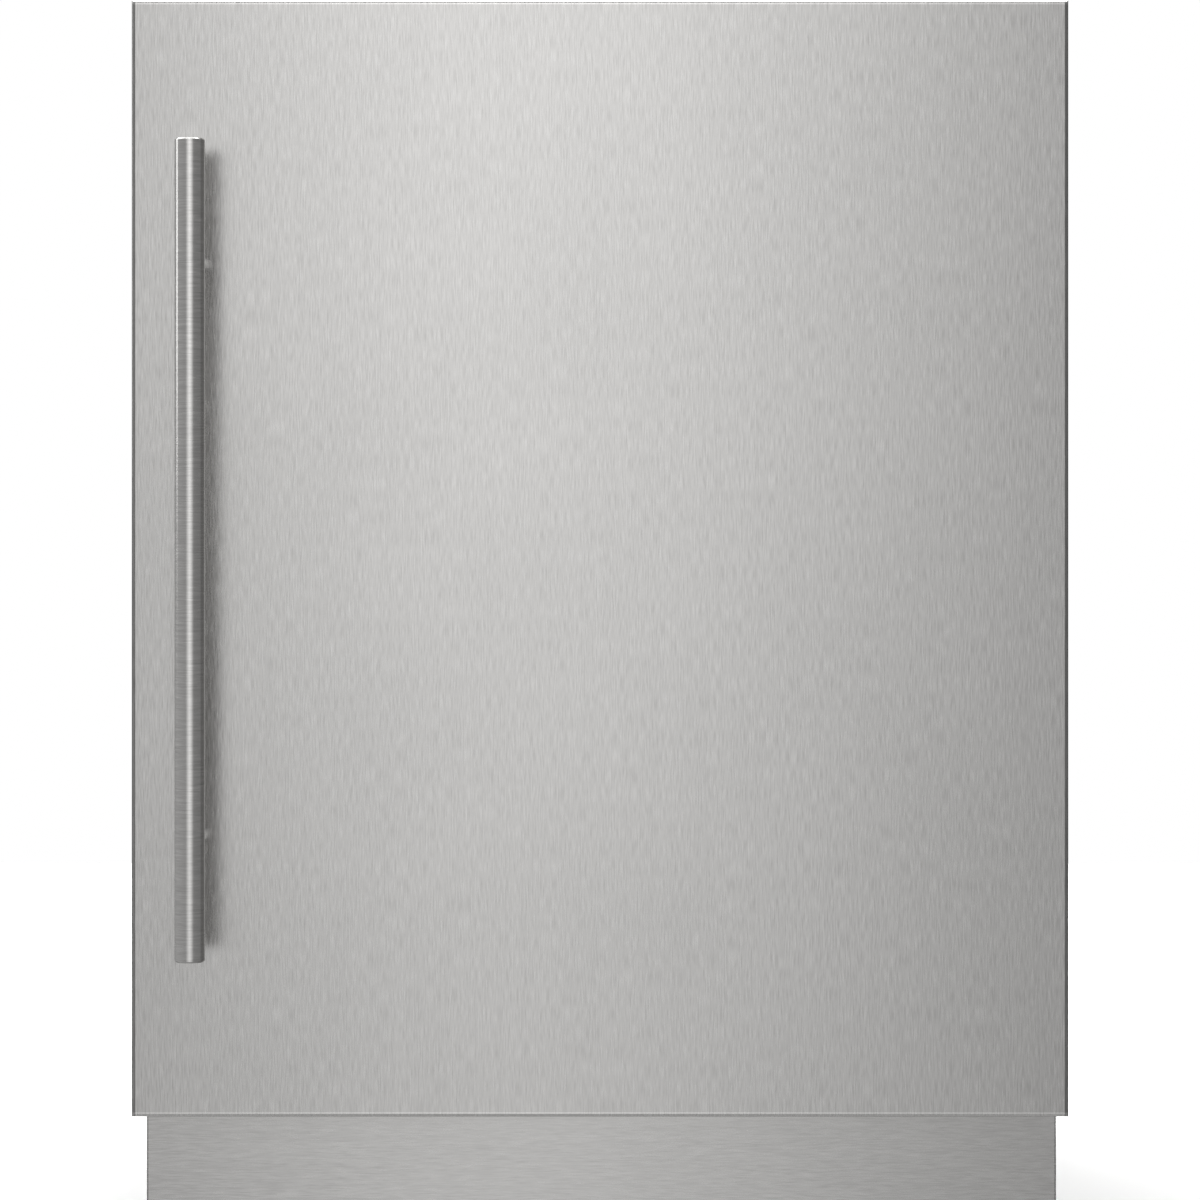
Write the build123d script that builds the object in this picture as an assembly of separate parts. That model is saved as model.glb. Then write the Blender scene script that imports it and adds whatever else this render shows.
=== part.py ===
from build123d import *
import os

# Built-in undercounter refrigerator with a full-overlay stainless door, a bar handle and a toe kick.
# Millimetres. +Z up, the door faces -Y, the handle is on the -X side and the hinge on the +X side.
# The origin is on the floor, under the middle of the whole appliance.

# ---- overall sizes ----
DOOR_W = 600.0
DOOR_H = 715.0
DOOR_BOTTOM = 105.0
CABINET_SIDE_INSET = 1.5  # the door overlaps the cabinet by this much on each side
CABINET_D = 500.0
CABINET_DROP = 5.0  # the cabinet's top lies this far under the door's top edge
BASE_Z = 30.0  # underside of the base pan
HANDLE_PROJECTION = 55.0  # from the door's face to the front of the bar

# ---- door build-up, front to back ----
PANEL_T = 20.0
PANEL_WALL = 1.2
PANEL_EDGE_R = 2.4
CORE_FIT = 0.2
PANEL_GAP = 3.0  # mounting rails between the panel and the insulated door
INNER_DOOR_T = 42.0
DOOR_SKIN = 1.0
DOOR_LINER_T = 2.5
SEAL_GAP = 10.0
INNER_SIDE_INSET = 4.0
INNER_GAP = 7.0  # above and below the insulated door, where the hinge plates lie
RAIL_W = 30.0
RAIL_X = 200.0
RAIL_END_GAP = 30.0

# ---- handle ----
BAR_D = 19.0
BAR_WALL = 1.8
BAR_LENGTH = 517.0
BAR_TOP_DROP = 93.0  # door's top edge down to the bar's top
BAR_EDGE_INSET = 43.0  # door's left edge to the bar's axis
BAR_CHAMFER = 0.9
BAR_END_T = 3.0
POST_D = 10.0
POST_INSET = 75.0
HANDLE_SCREW_R = 2.5
SCREW_HOLE_FIT = 0.25
HANDLE_SCREW_DEPTH = 15.0
HANDLE_HEAD_R = 5.0
HANDLE_HEAD_T = 2.5

# ---- hinge ----
HINGE_EDGE_INSET = 18.0
HINGE_SKIN_OFFSET = 15.0
PIN_R = 5.0
PIN_FIT = 0.05
PIN_DEPTH = 18.0
BUSH_R = 9.0
BUSH_DEPTH = 24.0
BUSH_FLANGE_R = 13.0
BUSH_FLANGE_T = 2.0
BUSH_POCKET_FIT = 0.05
THRUST_GAP = 0.2
HINGE_PLATE_T = 3.0
HINGE_NOSE_R = 14.0
HINGE_ARM_RIGHT = 8.0
HINGE_PLATE_W = 60.0
HINGE_PLATE_D = 50.0
HINGE_SCREW_R = 2.5
HINGE_SCREW_HEAD_R = 4.5
HINGE_SCREW_HEAD_T = 1.6
HINGE_SCREW_DEPTH = 9.0
HINGE_SCREW_OFFSETS = ((10.0, 38.0), (34.0, 20.0), (52.0, 38.0))

# ---- door liner, seal and bins ----
RIDGE_W = 22.0
RIDGE_H = 20.0
RIDGE_R = 5.0
RIDGE_SIDE_CLEARANCE = 20.0
RIDGE_END_CLEARANCE = 8.0
SEAL_OUTER_INSET = 24.0
SEAL_W = 17.0
SEAL_FOOT_T = 3.0
SEAL_NECK_W = 9.0
SEAL_NECK_T = 2.5
SEAL_REST_GAP = 0.3
SEAL_TOP_INSET = 15.0
SEAL_BOTTOM_INSET = 12.0
BIN_WALL = 2.5
BIN_END_T = 9.0
BIN_H = 90.0
BIN_D = 107.0
BIN_SIDE_FIT = 1.0
BIN_BACK_FIT = 3.0
BIN_CORNER_R = 5.0
BIN_RAIL_D = 5.0
LUG_W = 10.0
LUG_H = 24.0
LUG_LENGTH = 6.5
LUG_SIDE_FIT = 0.5
LUG_REST_GAP = 0.3
LUG_RISE = 30.0
LUG_BACK = 6.0
LOWER_BIN_RISE = 9.5  # above the shelf behind it
UPPER_BIN_RISE = 20.5

# ---- cabinet ----
WRAPPER_T = 1.0
WRAPPER_R = 4.0
REAR_FLANGE_W = 15.0
REAR_INSET = 4.0
FRAME_T = 4.0
PAN_T = 1.5
PAN_FRONT_INSET = 17.0
PAN_FRONT_FLANGE = 25.0
PAN_SIDE_FLANGE = 15.0
SHEET_FIT = 0.2
TUNNEL_D = 186.0  # depth of the machine compartment
TUNNEL_H = 240.0
SIDE_WALL = 42.5
ROOF_WALL = 42.5
FLOOR_WALL = 38.0
REAR_WALL = 45.0
HUMP_FOAM = 28.0
LINER_T = 2.5
LINER_R = 12.0
LINER_SIDE_R = 8.0

# ---- toe kick ----
KICK_TOP_GAP = 5.0
KICK_BOTTOM_Z = 10.0
KICK_T = 1.5
KICK_FLANGE = 12.5
KICK_FLANGE_INSET = 7.0
KICK_TAB_X = 150.0
KICK_TAB_W = 30.0
KICK_HOOK_DROP = 10.0

# ---- levelling legs ----
LEG_SIDE_INSET = 36.5
LEG_FRONT_INSET = 45.0
LEG_REAR_INSET = 35.0
FOOT_R = 19.0
FOOT_H = 10.0
FOOT_EDGE_R = 2.0
LEG_HEX = 24.0
STUD_R = 5.0
STUD_FIT = 0.05
STUD_TOP = 72.0
WELD_NUT_R = 11.0
WELD_NUT_H = 12.0

# ---- anchor tabs on the cabinet's top ----
TAB_X = 180.0
TAB_W = 40.0
TAB_T = 2.0
TAB_REACH = 32.0
TAB_BED = 30.0
TAB_HOLE_R = 2.5
TAB_HOLE_PITCH = 12.0
TAB_HOLE_Y = 18.0  # middle of the two holes, ahead of the cabinet's front

# ---- interior ----
LADDER_T = 2.0
LADDER_STEP_W = 9.0
LADDER_STEP_H = 5.0
LADDER_FRONT_GAP = 90.0
LADDER_REAR_GAP = 42.0
LADDER_BOTTOM_GAP = 1.0  # above the rounded edge of the hump
SHELF_PITCH = 56.0
SHELF_SIDE_FIT = 1.5
SHELF_H = 10.0
SHELF_BORDER = 14.0
GLASS_T = 5.0
GLASS_FIT = 0.3
GLASS_SEAT = 6.0
SHELF_REAR_GAP = 45.0
LOWER_SHELF_FRONT = 90.0  # behind the cabinet's front
UPPER_SHELF_FRONT = 115.0
SHELF_LIP = 4.0
CRISPER_FRONT = 90.0
CRISPER_WALL = 3.0
CRISPER_SIDE_GAP = 20.0
CRISPER_FLOOR_GAP = 7.0
CRISPER_REAR_GAP = 8.0
CRISPER_TOP_DROP = 12.0
CRISPER_RIM_W = 14.0
CRISPER_RIM_T = 4.0
CRISPER_FRONT_RISE = 8.0
CRISPER_FRONT_SIDE_GAP = 10.0
CRISPER_PULL_W = 150.0
CRISPER_PULL_H = 26.0
CRISPER_CORNER_R = 8.0
RUNNER_W = 16.0
RUNNER_H = 8.0
HOUSING_W = 220.0
HOUSING_H = 27.5
HOUSING_D = 90.0
HOUSING_FRONT = 35.0
HOUSING_WALL = 2.5
BUTTON_R = 5.0
BUTTON_FIT = 0.3
BUTTON_PROUD = 1.8
BUTTON_LENGTH = 8.0
BUTTON_PITCH = 22.0
BUTTON_FIRST_X = 44.0
DISPLAY_W = 70.0
DISPLAY_H = 15.0
DISPLAY_X = -38.0
DISPLAY_RECESS = 0.8
LIGHT_W = 280.0
LIGHT_D = 30.0
LIGHT_H = 8.5
LIGHT_BEHIND = 15.0

# ---- fans ----
SHAFT_R = 2.0
SHAFT_FIT = 0.05
BLADE_T = 1.6
HUB_GAP = 1.5  # between a motor and its hub

# ---- evaporator ----
COVER_W = 380.0
COVER_D = 34.0
COVER_WALL = 2.5
COVER_BOTTOM_GAP = 12.0
COVER_TOP_GAP = 72.5
FAN_DROP = 75.0  # below the cover's top
FAN_OPENING_R = 54.0
GRILLE_RINGS = (16.0, 30.0, 43.0)
GRILLE_BAR = 2.4
GRILLE_SPOKES = 8
INTAKE_ROWS = 3
INTAKE_COLUMNS = 7
INTAKE_FIRST = 22.0  # above the cover's lower edge
INTAKE_PITCH = (48.0, 12.0)
INTAKE_SLOT = (38.0, 5.0)
EVAP_FAN_R = 50.0
EVAP_BLADES = (7, 24.0, 18.0)  # count, chord and pitch angle
EVAP_HUB_R = 17.0
EVAP_HUB_T = 10.0
EVAP_MOTOR_R = 19.0
EVAP_MOTOR_T = 14.0
EVAP_PLATE_W = 62.0
EVAP_PLATE_H = 24.0
EVAP_PLATE_T = 3.0
COIL_W = 316.0
COIL_END_BARE = 4.0
COIL_RISE = 43.5  # above the hump
COIL_FAN_GAP = 56.0
COIL_TUBE_R = 4.0
COIL_ROWS = 4
COIL_FINS = 20
COIL_D = 22.0
FIN_T = 0.8
DRAIN_X = -165.0
DRAIN_REAR_GAP = 106.0
DRAIN_R = 8.0
DRAIN_WALL = 2.0
DRAIN_FLANGE_R = 13.0
DRAIN_DROP = 4.0  # above the tray's floor

# ---- machine compartment, with depths measured from the rear sheet ----
COMPRESSOR_X = -170.0
COMPRESSOR_GAP = 89.0
COMPRESSOR_R = 60.0
COMPRESSOR_BOTTOM = 52.0
COMPRESSOR_TOP = 195.0
COMPRESSOR_WALL = 6.0
COMPRESSOR_DOME_R = 28.0
SEAM_R = 64.0
SEAM_T = 5.0
MOUNT_PLATE = (160.0, 130.0, 3.0)
MOUNT_PLATE_R = 12.0
PEDESTAL_R = 30.0
RELAY_LENGTH = 28.0  # past the can's side
RELAY_W = 46.0
RELAY_Z = (88.0, 112.0)
RELAY_R = 5.0
GROMMET_R = 9.0
GROMMET_H = 12.5
MOUNT_X = 65.0
MOUNT_Y = 50.0
MOUNT_BOLT_R = 3.2
MOUNT_BOLT_PROUD = 8.0
MOUNT_NUT_R = 5.8
MOUNT_NUT_H = 5.0
FAN_AXIS_GAP = 93.0
FAN_AXIS_Z = 130.0
COND_FAN_R = 56.0
COND_BLADES = (5, 38.0, 16.0)
COND_HUB_R = 16.0
COND_HUB_T = 12.0
COND_FAN_X = 4.0
COND_MOTOR_R = 20.0
COND_MOTOR_L = 24.0
SHROUD_X = 18.0
SHROUD_T = 2.0
SHROUD_HOLE_R = 62.0
SHROUD_W = 160.0
SHROUD_H = 202.0
ARM_T = 4.0
CONDENSER_X = (30.0, 74.0)
CONDENSER_GAPS = (156.0, 32.0)
CONDENSER_H = 190.0
CONDENSER_END_BARE = 8.0
FIN_LIFT = 6.0
CONDENSER_TUBE_R = 4.0
CONDENSER_ROWS = 5
CONDENSER_FINS = 20
TUBE_SHEET_T = 1.5
TUBE_PROUD = 2.0
PAN_WALL = 2.0
DRIP_X = (-245.0, -95.0)
DRIP_GAPS = (163.0, 19.0)
DRIP_Z = (206.0, 236.0)
DRIP_HANGER_W = 40.0
DRIER_X = -50.0
DRIER_GAP = 26.0
DRIER_R = 9.0
DRIER_Z = (138.0, 230.0)
LINE_R = 3.0
CAPILLARY_R = 1.5
LINE_BEND_R = 9.0
LINE_STANDOFF = 21.0
LINE_HEADER_GAP = 15.0
LINE_FLOOR_GAP = 8.0
LINE_SIDE_GAP = 14.0
DISCHARGE_OFFSET = 38.0
SUCTION_OFFSET = 14.0
SUCTION_SIDE = 40.0
SUCTION_LIFT = 30.0
PORT_DROP = 36.0  # discharge port below the can's top
PORT_INSET = 10.0
COVER_SHEET_T = 1.0
LOUVRE_W = 110.0
LOUVRE_H = 5.0
LOUVRE_PITCH = 14.0
LOUVRE_ROWS = 9
LOUVRE_FIRST = 50.0  # above the base
LOUVRE_X = (-195.0, -65.0, 65.0)
COVER_SCREW_R = 1.9
COVER_HEAD_R = 4.0
COVER_HEAD_T = 2.4
COVER_SCREW_DEPTH = 8.0
COVER_SCREW_HEIGHTS = (26.0, 122.0, 224.0)  # above the base
INLET_SIDE_INSET = 83.5
INLET_Z = 95.0
INLET_FLANGE = (50.0, 2.5, 30.0)
INLET_BODY = (30.0, 24.0, 22.0)
INLET_SOCKET_DEPTH = 17.0
INLET_BLADE = (2.0, 14.0, 5.0)
INLET_BLADE_PITCH = 7.0
INLET_BLADE_LIFT = 2.5
INLET_WALL = 3.0
INLET_FLANGE_R = 4.0
INLET_FIT = 0.05

# ---- levels worked out from the sizes above ----
OVERALL_D = (
    HANDLE_PROJECTION + PANEL_T + PANEL_GAP + INNER_DOOR_T + SEAL_GAP + CABINET_D
)
Y_BAR_FRONT = -OVERALL_D / 2
Y_FACE = Y_BAR_FRONT + HANDLE_PROJECTION
Y_PANEL_BACK = Y_FACE + PANEL_T
Y_SKIN = Y_PANEL_BACK + PANEL_GAP
Y_DOOR_BACK = Y_SKIN + INNER_DOOR_T
Y_FRONT = Y_DOOR_BACK + SEAL_GAP  # the cabinet's front plane
Y_FRAME_BACK = Y_FRONT + FRAME_T
Y_REAR = Y_FRONT + CABINET_D
Y_SHEET = Y_REAR - REAR_INSET  # outer face of the rear sheets
Y_FOAM_BACK = Y_SHEET - COVER_SHEET_T - WRAPPER_T
Y_TUNNEL = Y_SHEET - TUNNEL_D
DOOR_TOP = DOOR_BOTTOM + DOOR_H
CABINET_TOP = DOOR_TOP - CABINET_DROP
INNER_BOTTOM = DOOR_BOTTOM + INNER_GAP
INNER_TOP = CABINET_TOP - INNER_GAP
INNER_HALF = DOOR_W / 2 - INNER_SIDE_INSET
CAB_HALF = DOOR_W / 2 - CABINET_SIDE_INSET
CAB_INSIDE = CAB_HALF - WRAPPER_T
TUNNEL_ROOF = BASE_Z + TUNNEL_H
CAVITY_HALF = CAB_HALF - SIDE_WALL
CAVITY_FLOOR = DOOR_BOTTOM + FLOOR_WALL
CAVITY_ROOF = CABINET_TOP - ROOF_WALL
CAVITY_REAR = Y_REAR - REAR_WALL
HUMP_Y = Y_TUNNEL - WRAPPER_T - HUMP_FOAM - LINER_T
HUMP_Z = TUNNEL_ROOF + WRAPPER_T + HUMP_FOAM + LINER_T
HINGE_X = DOOR_W / 2 - HINGE_EDGE_INSET
HINGE_Y = Y_SKIN + HINGE_SKIN_OFFSET
BAR_X = -DOOR_W / 2 + BAR_EDGE_INSET
BAR_Y = Y_BAR_FRONT + BAR_D / 2
BAR_TOP = DOOR_TOP - BAR_TOP_DROP
BAR_BOTTOM = BAR_TOP - BAR_LENGTH
POST_ZS = (BAR_BOTTOM + POST_INSET, BAR_TOP - POST_INSET)
RIDGE_HALF = CAVITY_HALF - RIDGE_SIDE_CLEARANCE
RIDGE_Z = (CAVITY_FLOOR + RIDGE_END_CLEARANCE, CAVITY_ROOF - RIDGE_END_CLEARANCE)
RIDGE_BACK = Y_DOOR_BACK + RIDGE_H
BIN_HALF = RIDGE_HALF - RIDGE_W - BIN_SIDE_FIT
BIN_Y = (Y_DOOR_BACK + BIN_BACK_FIT, Y_DOOR_BACK + BIN_BACK_FIT + BIN_D)
LUG_Y = Y_DOOR_BACK + LUG_BACK + LUG_W / 2
KICK_TOP = DOOR_BOTTOM - KICK_TOP_GAP
PAN_FRONT = Y_FRONT + PAN_FRONT_INSET
PAN_TOP = BASE_Z + PAN_T
LADDER_Y = (Y_FRONT + LADDER_FRONT_GAP, CAVITY_REAR - LADDER_REAR_GAP)
LADDER_Z0 = HUMP_Z + LINER_SIDE_R + LADDER_BOTTOM_GAP
LADDER_STEPS = int((CAVITY_ROOF - LADDER_Z0) / SHELF_PITCH)
LOWER_SHELF_Z = LADDER_Z0 + LADDER_STEP_H
UPPER_SHELF_Z = LOWER_SHELF_Z + LADDER_STEPS // 2 * SHELF_PITCH
LOWER_BIN_Z = LOWER_SHELF_Z + SHELF_H + LOWER_BIN_RISE
UPPER_BIN_Z = UPPER_SHELF_Z + SHELF_H + UPPER_BIN_RISE
CRISPER_HALF = CAVITY_HALF - CRISPER_SIDE_GAP
CRISPER_Y = (Y_FRONT + CRISPER_FRONT, HUMP_Y - CRISPER_REAR_GAP)
CRISPER_Z = (CAVITY_FLOOR + CRISPER_FLOOR_GAP, HUMP_Z - CRISPER_TOP_DROP)
HOUSING_Y = (Y_FRONT + HOUSING_FRONT, Y_FRONT + HOUSING_FRONT + HOUSING_D)
HOUSING_Z = (CAVITY_ROOF - HOUSING_H, CAVITY_ROOF)
COVER_Y = CAVITY_REAR - COVER_D
COVER_TOP = CAVITY_ROOF - COVER_TOP_GAP
FAN_Z = COVER_TOP - FAN_DROP
COIL_Z = (HUMP_Z + COIL_RISE, FAN_Z - FAN_OPENING_R - COIL_FAN_GAP)
DRAIN_Y = Y_SHEET - DRAIN_REAR_GAP
COMPRESSOR_Y = Y_SHEET - COMPRESSOR_GAP
FAN_AXIS_Y = Y_SHEET - FAN_AXIS_GAP
CONDENSER_Y = [Y_SHEET - gap for gap in CONDENSER_GAPS]
DRIP_Y = [Y_SHEET - gap for gap in DRIP_GAPS]
DRIER_Y = Y_SHEET - DRIER_GAP
INLET_X = CAB_HALF - INLET_SIDE_INSET
LEG_X = CAB_HALF - LEG_SIDE_INSET
LEG_Y = (Y_FRONT + LEG_FRONT_INSET, Y_REAR - LEG_REAR_INSET)
BUTTON_NAMES = ("power_button", "warmer_button", "colder_button")
LEG_PLACES = {
    "leg_front_left": (-LEG_X, LEG_Y[0]),
    "leg_front_right": (LEG_X, LEG_Y[0]),
    "leg_rear_left": (-LEG_X, LEG_Y[1]),
    "leg_rear_right": (LEG_X, LEG_Y[1]),
}
HINGE_SCREW_PLACES = [
    (HINGE_X + HINGE_ARM_RIGHT - dx, Y_FRONT + dy) for dx, dy in HINGE_SCREW_OFFSETS
]
COVER_SCREW_PLACES = [
    (side * (CAB_INSIDE - REAR_FLANGE_W / 2), BASE_Z + height)
    for side in (-1, 1)
    for height in COVER_SCREW_HEIGHTS
]
BUTTON_Z = sum(HOUSING_Z) / 2


# ---- small helpers ----
def block(x, y, z):
    """Box between the low and high limit given along each axis."""
    size = [high - low for low, high in (x, y, z)]
    middle = [(low + high) / 2 for low, high in (x, y, z)]
    return Pos(*middle) * Box(*size)


def both(half):
    """Limits the same distance either side of the middle."""
    return (-half, half)


def around(middle, size):
    """Limits of a given size about a middle."""
    return (middle - size / 2, middle + size / 2)


def rod(axis, radius, span, at):
    """Cylinder along an axis between two limits; at holds its other two coordinates in order."""
    turn = {"X": Rot(0, 90, 0), "Y": Rot(90, 0, 0), "Z": Rot(0, 0, 0)}[axis]
    place = list(at)
    place.insert("XYZ".index(axis), sum(span) / 2)
    return Pos(*place) * turn * Cylinder(radius, span[1] - span[0])


def front_edges(solid):
    """Edges round the face nearest the room."""
    return solid.faces().sort_by(Axis.Y)[0].edges()


def fan(hub_r, tip_r, thickness, blades, chord, pitch):
    """Axial fan about Z, bored for its motor's shaft, with its middle at the origin."""
    wheel = Cylinder(hub_r, thickness)
    reach = tip_r - hub_r / 2
    blade = Pos(hub_r / 2 + reach / 2, 0, 0) * Rot(pitch, 0, 0) * Box(reach, chord, BLADE_T)
    for turn in range(blades):
        wheel += Rot(0, 0, turn * 360 / blades) * blade
    wheel &= Cylinder(tip_r, thickness * 4)
    return wheel - Cylinder(SHAFT_R + SHAFT_FIT, thickness)


# ---- door ----
def door_panel():
    """Folded stainless pan that covers the whole front."""
    pan = block(both(DOOR_W / 2), (Y_FACE, Y_PANEL_BACK), (DOOR_BOTTOM, DOOR_TOP))
    pan = fillet(front_edges(pan), PANEL_EDGE_R)
    inside = block(
        both(DOOR_W / 2 - PANEL_WALL),
        (Y_FACE + PANEL_WALL, Y_PANEL_BACK),
        (DOOR_BOTTOM + PANEL_WALL, DOOR_TOP - PANEL_WALL),
    )
    pan -= fillet(front_edges(inside), PANEL_EDGE_R - PANEL_WALL)
    return pan - handle_screw_holes()


def handle_screw_holes():
    """Clearance holes through the panel and its core at both posts."""
    span = (Y_FACE - 1, Y_PANEL_BACK + 1)
    radius = HANDLE_SCREW_R + SCREW_HOLE_FIT
    return [rod("Y", radius, span, (BAR_X, z)) for z in POST_ZS]


def panel_core():
    """Backing board glued into the stainless pan."""
    inset = PANEL_WALL + CORE_FIT
    core = block(
        both(DOOR_W / 2 - inset),
        (Y_FACE + PANEL_WALL, Y_PANEL_BACK),
        (DOOR_BOTTOM + inset, DOOR_TOP - inset),
    )
    return fillet(front_edges(core), PANEL_EDGE_R - PANEL_WALL) - handle_screw_holes()


def panel_rails():
    """Two upright steel strips that carry the panel on the insulated door."""
    span = (INNER_BOTTOM + RAIL_END_GAP, INNER_TOP - RAIL_END_GAP)
    return Compound(
        children=[
            block(around(side * RAIL_X, RAIL_W), (Y_PANEL_BACK, Y_SKIN), span)
            for side in (-1, 1)
        ]
    )


def bush_pockets():
    """Round pockets for the hinge bushes in the top and bottom of the insulated door."""
    radius = BUSH_R + BUSH_POCKET_FIT
    at = (HINGE_X, HINGE_Y)
    return [
        rod("Z", radius, (INNER_TOP - BUSH_DEPTH, INNER_TOP + 1), at),
        rod("Z", radius, (INNER_BOTTOM - 1, INNER_BOTTOM + BUSH_DEPTH), at),
    ]


def door_shell():
    """Painted steel skin of the insulated door, open towards the cabinet."""
    shell = block(both(INNER_HALF), (Y_SKIN, Y_DOOR_BACK), (INNER_BOTTOM, INNER_TOP))
    shell -= block(
        both(INNER_HALF - DOOR_SKIN),
        (Y_SKIN + DOOR_SKIN, Y_DOOR_BACK),
        (INNER_BOTTOM + DOOR_SKIN, INNER_TOP - DOOR_SKIN),
    )
    return shell - bush_pockets()


def door_foam():
    """Foam between the door's skin and its liner."""
    foam = block(
        both(INNER_HALF - DOOR_SKIN),
        (Y_SKIN + DOOR_SKIN, Y_DOOR_BACK - DOOR_LINER_T),
        (INNER_BOTTOM + DOOR_SKIN, INNER_TOP - DOOR_SKIN),
    )
    return foam - bush_pockets()


def bin_lug(side, bin_z):
    """Boss on the liner's ridge that one end of a bin hangs on."""
    root = RIDGE_HALF - RIDGE_W
    x = sorted((side * (root + 1), side * (root - LUG_LENGTH)))
    low = bin_z + LUG_RISE
    return block(x, around(LUG_Y, LUG_W), (low, low + LUG_H))


def door_liner():
    """Moulded inner face of the door, with its raised ridge and the bins' lugs."""
    half = INNER_HALF - DOOR_SKIN
    plate = block(
        both(half),
        (Y_DOOR_BACK - DOOR_LINER_T, Y_DOOR_BACK),
        (INNER_BOTTOM + DOOR_SKIN, INNER_TOP - DOOR_SKIN),
    )
    ridge = block(both(RIDGE_HALF), (Y_DOOR_BACK, RIDGE_BACK), RIDGE_Z)
    ridge -= block(
        both(RIDGE_HALF - RIDGE_W),
        (Y_DOOR_BACK, RIDGE_BACK),
        (RIDGE_Z[0] + RIDGE_W, RIDGE_Z[1] - RIDGE_W),
    )
    crest = ridge.faces().sort_by(Axis.Y)[-1].edges()
    ridge = fillet(crest, RIDGE_R)
    lugs = [bin_lug(s, z) for s in (-1, 1) for z in (LOWER_BIN_Z, UPPER_BIN_Z)]
    return plate + ridge + lugs


def seal_ring(width, y, trim):
    """Rectangular ring of the door seal, trim inside its widest outline."""
    half = DOOR_W / 2 - SEAL_OUTER_INSET - trim
    z = (DOOR_BOTTOM + SEAL_BOTTOM_INSET + trim, CABINET_TOP - SEAL_TOP_INSET - trim)
    outer = block(both(half), y, z)
    return outer - block(both(half - width), y, (z[0] + width, z[1] - width))


def door_gasket():
    """Magnetic seal: a foot on the liner, a bellows neck and the magnet's head."""
    foot_back = Y_DOOR_BACK + SEAL_FOOT_T
    neck_back = foot_back + SEAL_NECK_T
    neck_trim = (SEAL_W - SEAL_NECK_W) / 2
    return (
        seal_ring(SEAL_W, (Y_DOOR_BACK, foot_back), 0)
        + seal_ring(SEAL_NECK_W, (foot_back, neck_back), neck_trim)
        + seal_ring(SEAL_W, (neck_back, Y_FRONT - SEAL_REST_GAP), 0)
    )


def hinge_bushings():
    """Flanged nylon bushes in the door's top and bottom corners."""
    at = (HINGE_X, HINGE_Y)
    top = rod("Z", BUSH_R, (INNER_TOP - BUSH_DEPTH, INNER_TOP), at)
    top += rod("Z", BUSH_FLANGE_R, (INNER_TOP, INNER_TOP + BUSH_FLANGE_T), at)
    bottom = rod("Z", BUSH_R, (INNER_BOTTOM, INNER_BOTTOM + BUSH_DEPTH), at)
    bottom += rod(
        "Z", BUSH_FLANGE_R, (INNER_BOTTOM - BUSH_FLANGE_T, INNER_BOTTOM), at
    )
    bore = rod("Z", PIN_R + PIN_FIT, (DOOR_BOTTOM, DOOR_TOP), at)
    return Compound(children=[top - bore, bottom - bore])


def handle_bar():
    """Round tube, closed at both ends by welded discs with a small chamfer."""
    bar = rod("Z", BAR_D / 2, (BAR_BOTTOM, BAR_TOP), (BAR_X, BAR_Y))
    bar = chamfer(bar.edges().filter_by(GeomType.CIRCLE), BAR_CHAMFER)
    hollow = (BAR_BOTTOM + BAR_END_T, BAR_TOP - BAR_END_T)
    return bar - rod("Z", BAR_D / 2 - BAR_WALL, hollow, (BAR_X, BAR_Y))


def handle_posts():
    """Two standoffs, saddle-cut to the bar and tapped for their screws."""
    bar = rod("Z", BAR_D / 2, (BAR_BOTTOM, BAR_TOP), (BAR_X, BAR_Y))
    tapped = (Y_FACE - HANDLE_SCREW_DEPTH, Y_FACE)
    posts = []
    for z in POST_ZS:
        post = rod("Y", POST_D / 2, (BAR_Y, Y_FACE), (BAR_X, z)) - bar
        posts.append(post - rod("Y", HANDLE_SCREW_R, tapped, (BAR_X, z)))
    return Compound(children=posts)


def handle_screws():
    """Screws that hold the posts from behind the panel."""
    shank = (Y_FACE - HANDLE_SCREW_DEPTH, Y_PANEL_BACK)
    head = (Y_PANEL_BACK, Y_PANEL_BACK + HANDLE_HEAD_T)
    return Compound(
        children=[
            rod("Y", HANDLE_SCREW_R, shank, (BAR_X, z))
            + rod("Y", HANDLE_HEAD_R, head, (BAR_X, z))
            for z in POST_ZS
        ]
    )


def door_bin(bin_z):
    """Clear bin that drops over the liner's lugs."""
    tub = block(both(BIN_HALF), BIN_Y, (bin_z, bin_z + BIN_H))
    tub = fillet(tub.edges().filter_by(Axis.Z), BIN_CORNER_R)
    tub -= block(
        both(BIN_HALF - BIN_END_T),
        (BIN_Y[0] + BIN_WALL, BIN_Y[1] - BIN_RAIL_D),
        (bin_z + BIN_WALL, bin_z + BIN_H),
    )
    slot_top = bin_z + LUG_RISE + LUG_H + LUG_REST_GAP
    slot_y = around(LUG_Y, LUG_W + 2 * LUG_SIDE_FIT)
    depth = LUG_LENGTH + LUG_SIDE_FIT - BIN_SIDE_FIT
    for side in (-1, 1):
        x = sorted((side * (BIN_HALF - depth), side * (BIN_HALF + 1)))
        tub -= block(x, slot_y, (bin_z, slot_top))
    return tub


# ---- cabinet ----
def rounded(face, corners, radius):
    """Fillet the corners of a flat face that lie nearest the given points."""
    picked = [face.vertices().sort_by_distance(corner)[0] for corner in corners]
    return fillet(picked, radius)


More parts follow.
